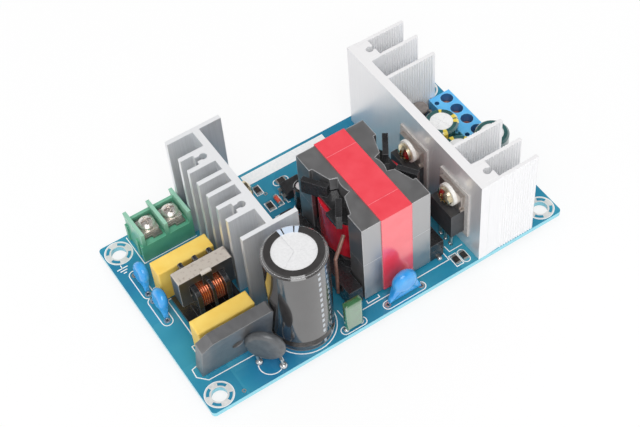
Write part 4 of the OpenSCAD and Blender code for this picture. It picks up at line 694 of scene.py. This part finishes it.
# Inrush limiter
# Sintered disc dipped in dark grey lacquer, held clear of the board by two stout
# tinned leads.
INRUSH_BARE = 3.4
disc_grey = finish("disc_grey", (76, 79, 82), 0.38, ior=1.7, coat=0.2, coat_rough=0.2)
mottle(disc_grey, (68, 71, 74), (88, 91, 94), 1.6)
relief(disc_grey, 0.5, 0.05)
tin_legs(disc_grey, BOARD_TOP + INRUSH_BARE)
dress(disc_grey, "inrush_limiter")


# Primary heatsink and switching transistor
# Extruded aluminium comb, left bare, with faint draw lines up its sides and a sawn top.
# The transistor is clamped to the back of its spine over an insulating pad.
DRAWN = (1, 1, 0.03)
SAWN_FROM = 0.4
SAWN_FULL = 0.6
SAWN_MIRROR = 0.3
PLATE_FROM = 0.8
PLATE_FULL = 0.9


def aluminium(name, low_rgb, high_rgb, sawn_rgb, edge_rub_glint_rgb, mirror, plate_mirror):
    """Extruded aluminium: drawn sides that mirror, the flat plate by its own share, duller sawn ends."""
    mat = finish(name, high_rgb, 0.32)
    mottle(mat, low_rgb, high_rgb, 0.3, DRAWN)
    sheen(mat, 0.28, 0.36, 0.3, DRAWN)
    ends = sum_up(mat, "ABSOLUTE", facing(mat, "Z"))
    paint(mat, spread(mat, ends, SAWN_FROM, SAWN_FULL), sawn_rgb)
    broad = sum_up(mat, "ABSOLUTE", facing(mat, "X"))
    plate = spread(mat, broad, PLATE_FROM, PLATE_FULL, mirror, plate_mirror)
    sides = spread(mat, ends, SAWN_FROM, SAWN_FULL, 1.0, SAWN_MIRROR)
    wire(mat, sum_up(mat, "MULTIPLY", plate, sides), socket(mat, "Metallic"))
    relief(mat, 0.3, 0.008, DRAWN, edge_mm=0.2, edge_rub_glint=edge_rub_glint_rgb, strength=0.1)
    return mat


grey_aluminium = aluminium("grey_aluminium", (224, 226, 229), (234, 236, 239), sawn_rgb=(236, 237, 239),
                           edge_rub_glint_rgb=(244, 245, 247), mirror=0.56, plate_mirror=0.56)
dress(grey_aluminium, "primary_heatsink")
tab_metal = finish("tinned_tab", (206, 198, 192), 0.28, metal=0.9)
mottle(tab_metal, (192, 182, 174), (218, 211, 206), 0.8, (1, 1, 0.2))
relief(tab_metal, 0.25, 0.02, edge_mm=0.12, edge_rub_glint=(232, 210, 198), strength=0.3)
dress(tab_metal, "switch_lead_frame")
device_black = finish("device_black", (54, 54, 56), 0.42, ior=1.6)
mottle(device_black, (48, 48, 50), (64, 64, 66), 1.8)
relief(device_black, 0.14, 0.03, edge_mm=0.15, edge_rub_glint=(92, 92, 94), strength=0.45)
dress(device_black, "switch_body")


# Bulk capacitor
# Drawn aluminium can with a scored vent in its top, in a glossy black shrink sleeve that
# turns over the shoulder and carries a pale polarity field and columns of plain marks.
SLEEVE_BLACK = (52, 50, 50)
FIELD_PALE = (206, 220, 238)
FIELD_TURN = 70
FIELD_HALF = 22
FIELD_GAPS = (58, 83)
GAP_HALF = 1.5
MARK_PALE = (196, 204, 214)
MARK_STEP = 2.4
MARK_SHARE = 0.28
MARK_COLUMNS = [(-78, 2.6), (-58, 2.2), (112, 2.0), (141, 2.0)]
SHOULDER = 1.6
can_metal = finish("can_aluminium", (236, 236, 237), 0.4, metal=0.15)
mottle(can_metal, (231, 231, 232), (241, 241, 242), 0.6)
sheen(can_metal, 0.34, 0.46, 0.5)
relief(can_metal, 0.2, 0.01, edge_mm=0.1, strength=0.2)
dress(can_metal, "bulk_capacitor")


def sector(mat, angle, middle, half):
    """1 within half a sector of the middle direction, both in degrees."""
    return sum_up(mat, "COMPARE", angle, math.radians(middle), math.radians(half))


def sleeve_finish(name, low_rgb, high_rgb):
    """Glossy shrink sleeve, slightly uneven where it has drawn tight."""
    mat = finish(name, high_rgb, 0.14, ior=1.8, coat=0.6, coat_rough=0.04, coat_ior=1.8)
    mottle(mat, low_rgb, high_rgb, 3)
    relief(mat, 2.6, 0.05, (1, 1, 0.4), strength=0.25)
    return mat


black_sleeve = sleeve_finish("black_sleeve", SLEEVE_BLACK, (62, 60, 60))
bulk_angle = polar(black_sleeve, *middle_of("bulk_capacitor"))[0]
paint(black_sleeve, sector(black_sleeve, bulk_angle, FIELD_TURN, FIELD_HALF), FIELD_PALE)
for middle in FIELD_GAPS:
    paint(black_sleeve, sector(black_sleeve, bulk_angle, middle, GAP_HALF), SLEEVE_BLACK)
bulk_height = axis_of(black_sleeve, place_of(black_sleeve), "Z")
marks = sum_up(black_sleeve, "FRACT", sum_up(black_sleeve, "MULTIPLY", bulk_height, 1 / (MARK_STEP * MM)))
marks = sum_up(black_sleeve, "COMPARE", marks, 0.5, MARK_SHARE)
sleeve_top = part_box("bulk_capacitor_sleeve")[1][2]
below_shoulder = sum_up(black_sleeve, "LESS_THAN", bulk_height, sleeve_top - SHOULDER * MM)
marks = sum_up(black_sleeve, "MULTIPLY", marks, below_shoulder)
for middle, half in MARK_COLUMNS:
    column = sum_up(black_sleeve, "MULTIPLY", marks, sector(black_sleeve, bulk_angle, middle, half))
    paint(black_sleeve, column, MARK_PALE, 0.75)
dress(black_sleeve, "bulk_capacitor_sleeve")


# Film snubber capacitor
# Small film capacitor dipped in glossy green resin, standing at the front edge on two
# short tinned leads.
FILM_BARE = 0.35
green_dip = finish("green_dip", (52, 112, 66), 0.12, ior=2.4, coat=1.0, coat_rough=0.06, coat_ior=1.8)
mottle(green_dip, (44, 102, 58), (62, 124, 76), 2)
relief(green_dip, 1.8, 0.05, edge_mm=0.5, edge_rub_glint=(34, 88, 50), strength=0.2)
tin_legs(green_dip, BOARD_TOP + FILM_BARE)
dress(green_dip, "film_capacitor")


# Transformer
# Two ground ferrite halves on a black bobbin with pin rails and slanting guides, a
# taped winding, and a band of glossy red polyester tape pulled round the core.
core_ferrite = finish("core_ferrite", (84, 83, 85), 0.34, ior=5.0, coat=0.1, coat_rough=0.15)
mottle(core_ferrite, (78, 77, 79), (92, 91, 93), 3.0)
sheen(core_ferrite, 0.3, 0.4, 3.0)
# Painted highlight: the core's broken edges get a near-white colour
relief(core_ferrite, 0.5, 0.008, edge_mm=0.32, edge_rub_glint=(222, 222, 224), strength=0.05)
dress(core_ferrite, "transformer_core_lower", "transformer_core_upper")
black_moulding = finish("black_moulding", (38, 38, 40), 0.26, ior=1.6, coat=0.3, coat_rough=0.1)
mottle(black_moulding, (32, 32, 34), (48, 48, 50), 4)
sheen(black_moulding, 0.2, 0.36, 1.4)
relief(black_moulding, 0.3, 0.03, edge_mm=0.25, edge_rub_glint=(92, 92, 95), strength=0.35)
dress(black_moulding, "transformer_bobbin")
red_tape = finish("red_tape", (247, 66, 82), 0.24, coat=1.0, coat_rough=0.16, coat_ior=2.1)
mottle(red_tape, (244, 60, 76), (251, 76, 90), 5)
relief(red_tape, 3.5, 0.06, edge_mm=0.3, strength=0.3)
dress(red_tape, "transformer_tape")
wound_tape = finish("wound_tape", (198, 26, 44), 0.2, coat=0.8, coat_rough=0.08)
mottle(wound_tape, (174, 16, 34), (222, 38, 56), 2.5, (1, 1, 0.5))
relief(wound_tape, 1.6, 0.15, (1, 1, 0.3), strength=0.5)
dress(wound_tape, "transformer_winding")
lead_sleeve = finish("lead_sleeve", (130, 92, 80), 0.3, coat=0.4, coat_rough=0.1)
mottle(lead_sleeve, (108, 72, 62), (154, 114, 98), 1.0)
relief(lead_sleeve, 0.5, 0.03, strength=0.3)
dress(lead_sleeve, "transformer_lead_wire")
dress(tin, "transformer_pins")


# Second turn of tape on the core
# A short strip of the same red tape, stuck over the band and left blank, with pale lines
# painted along its cut edges as the highlight there.
STRIP_Y0 = -20.5
STRIP_Y1 = -0.3
STRIP_INSET = 0.1
TAPE_LIFT = 0.02
EDGE_GLINT_W = 0.16
tape_low, tape_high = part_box("transformer_tape")
strip_x0 = tape_low[0] / MM + STRIP_INSET
strip_x1 = tape_high[0] / MM - STRIP_INSET
strip_z = tape_high[2] / MM + TAPE_LIFT
lay_faces("tape_strip", [corners(strip_x0, STRIP_Y0, strip_x1, STRIP_Y1)], strip_z, red_tape)
# Painted highlight: pale lines along the strip's two cut edges
tape_edge_glint = finish("tape_edge_highlight", (246, 120, 132), 0.3, coat=0.5)
mottle(tape_edge_glint, (240, 104, 118), (250, 140, 150), 1.5)
edge_glint_lines = []
for y in (STRIP_Y0, STRIP_Y1):
    edge_glint_lines += stroke([(strip_x0, y), (strip_x1, y)], EDGE_GLINT_W)
lay_faces("tape_strip_edges", edge_glint_lines, strip_z + TAPE_LIFT, tape_edge_glint)


# Control parts
# Controller chip, optocoupler, supply capacitor, glass diode and chip resistors, all
# soldered flat or through the board behind the transformer.
CHIP_HALF = 1.98
COUPLER_HALF = 3.22


def leaded_black(name, node, half_x):
    """Black moulding, half_x to each side of its middle, with plated legs beyond that."""
    mat = finish(name, (48, 48, 50), 0.42)
    mottle(mat, (40, 40, 42), (60, 60, 62), 1.6)
    relief(mat, 0.15, 0.02, edge_mm=0.12, edge_rub_glint=(96, 96, 98), strength=0.4)
    along = axis_of(mat, place_of(mat), "X")
    off = sum_up(mat, "ABSOLUTE", sum_up(mat, "SUBTRACT", along, middle_of(node)[0] * MM))
    leg = sum_up(mat, "GREATER_THAN", off, half_x * MM)
    paint(mat, leg, LEG_TIN)
    wire(mat, leg, socket(mat, "Metallic"))
    dress(mat, node)


leaded_black("chip_black", "controller_chip", CHIP_HALF)
leaded_black("coupler_black", "optocoupler", COUPLER_HALF)
small_black = finish("small_black", (50, 48, 48), 0.4)
mottle(small_black, (42, 40, 40), (64, 61, 60), 1.5)
relief(small_black, 0.15, 0.02, edge_mm=0.1)
dress(small_black, "chip_bodies")
dress(tin, "chip_terminals")
dress(can_metal, "small_capacitor_primary")
small_sleeve = sleeve_finish("small_sleeve", (30, 30, 32), (40, 40, 42))
dress(small_sleeve, "small_capacitor_sleeve")
coral_glass = finish("coral_glass", (234, 96, 76), 0.1, coat=0.5)
mottle(coral_glass, (222, 80, 62), (244, 118, 96), 0.8)
relief(coral_glass, 0.6, 0.02, strength=0.2)
dress(coral_glass, "glass_diode")


# Secondary heatsink and rectifiers
# Extruded plate with ribbed fins, screwed up from under the board, its aluminium painted paler
# and less mirror-like than the primary heatsink's for the strong light on it. Two rectifiers
# stand against it on grey pads, each held by a zinc screw through a white bushing.
# Painted light: a paler, more diffuse copy of the heatsink aluminium, for the strong light on this heatsink
painted_lit_aluminium = aluminium("painted_lit_aluminium", (237, 237, 239), (243, 243, 244), sawn_rgb=(236, 235, 236),
                             edge_rub_glint_rgb=(248, 248, 249), mirror=0.2, plate_mirror=0.55)
dress(painted_lit_aluminium, "secondary_heatsink")
dress(tab_metal, "rectifier_frame_front", "rectifier_frame_back")
dress(device_black, "rectifier_body_front", "rectifier_body_back")
silicone = finish("grey_silicone", (190, 186, 182), 0.55)
mottle(silicone, (180, 176, 172), (200, 196, 192), 1.0)
relief(silicone, 0.4, 0.03, edge_mm=0.1)
dress(silicone, "switch_pad", "rectifier_pad_front", "rectifier_pad_back")
bushing_white = finish("bushing_white", (240, 238, 233), 0.4)
mottle(bushing_white, (233, 231, 226), (246, 244, 240), 1.5)
relief(bushing_white, 0.3, 0.02, edge_mm=0.15, strength=0.3)
dress(bushing_white, "insulating_bushings")
zinc = finish("zinc_plate", (228, 216, 184), 0.2, metal=1.0)
mottle(zinc, (212, 194, 154), (238, 230, 208), 1.2)
sheen(zinc, 0.14, 0.28, 0.8)
relief(zinc, 0.3, 0.02, edge_mm=0.15, strength=0.35)
dress(zinc, "device_screws", "heatsink_screws")


# Output capacitors and choke
# Three low-voltage electrolytic capacitors with cross-scored tops in dark green sleeves
# with gold marks, and a choke wound on a ferrite rod in a black sleeve.
OUT_CAN_R = 5.1
GOLD = (236, 212, 84)
# Direction and half width of each can's marks, in degrees
OUT_MARKS = {
    "output_capacitor_1": [(-32, 9), (-8, 9), (60, 6), (-111, 8)],
    "output_capacitor_2": [(21, 12), (87, 8)],
    "output_capacitor_3": [(-118, 12)],
}
green_sleeve = sleeve_finish("green_sleeve", (42, 84, 84), (56, 104, 104))
for node, bands in OUT_MARKS.items():
    can_angle, can_reach = polar(green_sleeve, *middle_of(node))
    this_can = sum_up(green_sleeve, "LESS_THAN", can_reach, OUT_CAN_R * MM)
    for middle, half in bands:
        mark = sum_up(green_sleeve, "MULTIPLY", this_can, sector(green_sleeve, can_angle, middle, half))
        paint(green_sleeve, mark, GOLD)
dress(green_sleeve, "output_capacitor_sleeves")
# Painted light: the output can tops are a whiter, less metallic copy of the can aluminium, for the light that
# falls on them
painted_lit_can = finish("painted_lit_can", (250, 250, 250), 0.4, metal=0.1)
mottle(painted_lit_can, (246, 246, 246), (253, 253, 253), 0.6)
relief(painted_lit_can, 0.2, 0.01, edge_mm=0.1, strength=0.2)
dress(painted_lit_can, *OUT_MARKS)
rod_ferrite = finish("rod_ferrite", (132, 124, 120), 0.5)
mottle(rod_ferrite, (122, 114, 110), (144, 136, 132), 1.0)
relief(rod_ferrite, 0.2, 0.03, edge_mm=0.2, edge_rub_glint=(168, 160, 156))
dress(rod_ferrite, "output_choke")
rod_sleeve = sleeve_finish("rod_sleeve", (62, 56, 56), (78, 72, 72))
dress(rod_sleeve, "output_choke_sleeve")


# Output terminal
# Four-pole block in sky blue plastic, with a screw well on top and a wire mouth on the outer
# side of each pole, both painted dark blue inside as their shade. Cages are plated, the slotted
# screws copper-coloured.
WELL_LIP = 0.2
WELL_PAINTED_SHADE = (16, 58, 124)
terminal_blue = finish("terminal_blue", (94, 188, 247), 0.36, coat=0.15, coat_rough=0.2)
mottle(terminal_blue, (84, 180, 242), (106, 197, 250), 5)
sheen(terminal_blue, 0.3, 0.44, 1.4)
relief(terminal_blue, 0.25, 0.02, edge_mm=0.2, edge_rub_glint=(156, 216, 250), strength=0.3)
block_low, block_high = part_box("output_terminal_housing")
block_place = place_of(terminal_blue)
well_height = axis_of(terminal_blue, block_place, "Z")
# Painted shade: the inner faces of the screw wells and wire mouths, below the lip, are painted deep blue
shaded_well = sum_up(terminal_blue, "LESS_THAN", well_height, block_high[2] - WELL_LIP * MM)
for k, axis in enumerate("XY"):
    middle = (block_low[k] + block_high[k]) / 2
    reach = (block_high[k] - block_low[k]) / 2 - WELL_LIP * MM
    within = sum_up(terminal_blue, "COMPARE", axis_of(terminal_blue, block_place, axis), middle, reach)
    shaded_well = sum_up(terminal_blue, "MULTIPLY", shaded_well, within)
paint(terminal_blue, shaded_well, WELL_PAINTED_SHADE, 0.7)
dress(terminal_blue, "output_terminal_housing")
dress(nickel, "output_terminal_cages")
red_brass = finish("red_brass", (226, 142, 122), 0.26, metal=0.6)
mottle(red_brass, (200, 108, 90), (238, 170, 150), 0.8)
relief(red_brass, 0.3, 0.02, edge_mm=0.12, edge_rub_glint=(246, 214, 200), strength=0.3)
dress(red_brass, "output_terminal_screws")


# Studio
# White floor and white walls under a dimmer ceiling. The eye sees floor and walls as plain
# white, the floor keeps a soft shadow, and one large lamp gives the light its way.
FLOOR_SIZE = 3000.0
WHITE = (1, 1, 1, 1)
ROOM_LIGHT = 0.8
CEILING = 0.1
CEILING_FROM = 0.25
CEILING_FULL = 0.6
LAMP_SIZE = 900.0
LAMP_AT = Vector((-350.0, -750.0, 1100.0)) * MM
LAMP_POWER = 9.0
PAPER_WHITE = 0.8

world = bpy.data.worlds.new("studio")
bpy.context.scene.world = world
world.use_nodes = True


def ray_kinds(mat, *kinds):
    """1 for rays of any of the named kinds, otherwise 0."""
    path = add(mat, "ShaderNodeLightPath")
    result = path.outputs[kinds[0]]
    for kind in kinds[1:]:
        result = sum_up(mat, "MAXIMUM", result, path.outputs[kind])
    return result


def two_ways(mat, choice, first, second):
    """One shader where choice is 0 and another where it is 1."""
    mix = add(mat, "ShaderNodeMixShader")
    wire(mat, choice, mix.inputs["Fac"])
    wire(mat, first, mix.inputs[1])
    wire(mat, second, mix.inputs[2])
    return mix.outputs["Shader"]


def wall_light(strength):
    """Even white light from all round."""
    shade = add(world, "ShaderNodeBackground")
    shade.inputs["Color"].default_value = WHITE
    shade.inputs["Strength"].default_value = strength
    return shade


mirrored = wall_light(1.0)
upward = axis_of(world, add(world, "ShaderNodeTexCoord").outputs["Generated"], "Z")
wire(world, spread(world, upward, CEILING_FROM, CEILING_FULL, 1.0, CEILING), mirrored.inputs["Strength"])
room_light = wall_light(ROOM_LIGHT)
glossy_or_lit = two_ways(world, ray_kinds(world, "Is Glossy Ray"), room_light.outputs["Background"],
                         mirrored.outputs["Background"])
seen_room = two_ways(world, ray_kinds(world, "Is Camera Ray", "Is Transmission Ray"), glossy_or_lit,
                     wall_light(1.0).outputs["Background"])
wire(world, seen_room, world.node_tree.nodes["World Output"].inputs["Surface"])

floor_half = FLOOR_SIZE * MM / 2
floor_z = cad_box[0][2]
floor_points = [(x, y, floor_z) for x, y in corners(-floor_half, -floor_half, floor_half, floor_half)]
floor_mesh = bpy.data.meshes.new("floor")
floor_mesh.from_pydata(floor_points, [], [(0, 1, 2, 3)])
floor = bpy.data.objects.new("floor", floor_mesh)
bpy.context.scene.collection.objects.link(floor)
floor_paper = finish("floor_paper", (243, 243, 243), 0.9)
paper_nodes = floor_paper.node_tree.nodes
glow = add(floor_paper, "ShaderNodeEmission")
glow.inputs["Color"].default_value = WHITE
glow.inputs["Strength"].default_value = 1.0
seen_paper = ray_kinds(floor_paper, "Is Camera Ray", "Is Glossy Ray", "Is Transmission Ray")
share = sum_up(floor_paper, "MULTIPLY", seen_paper, PAPER_WHITE)
lit_paper = paper_nodes["Principled BSDF"].outputs["BSDF"]
wire(floor_paper, two_ways(floor_paper, share, lit_paper, glow.outputs["Emission"]),
     paper_nodes["Material Output"].inputs["Surface"])
floor_mesh.materials.append(floor_paper)

lamp = bpy.data.objects.new("lamp", bpy.data.lights.new("lamp", "AREA"))
bpy.context.scene.collection.objects.link(lamp)
lamp.data.size = LAMP_SIZE * MM
lamp.data.energy = LAMP_POWER
lamp.location = LAMP_AT
lamp.rotation_euler = (-LAMP_AT).to_track_quat("-Z", "Y").to_euler()
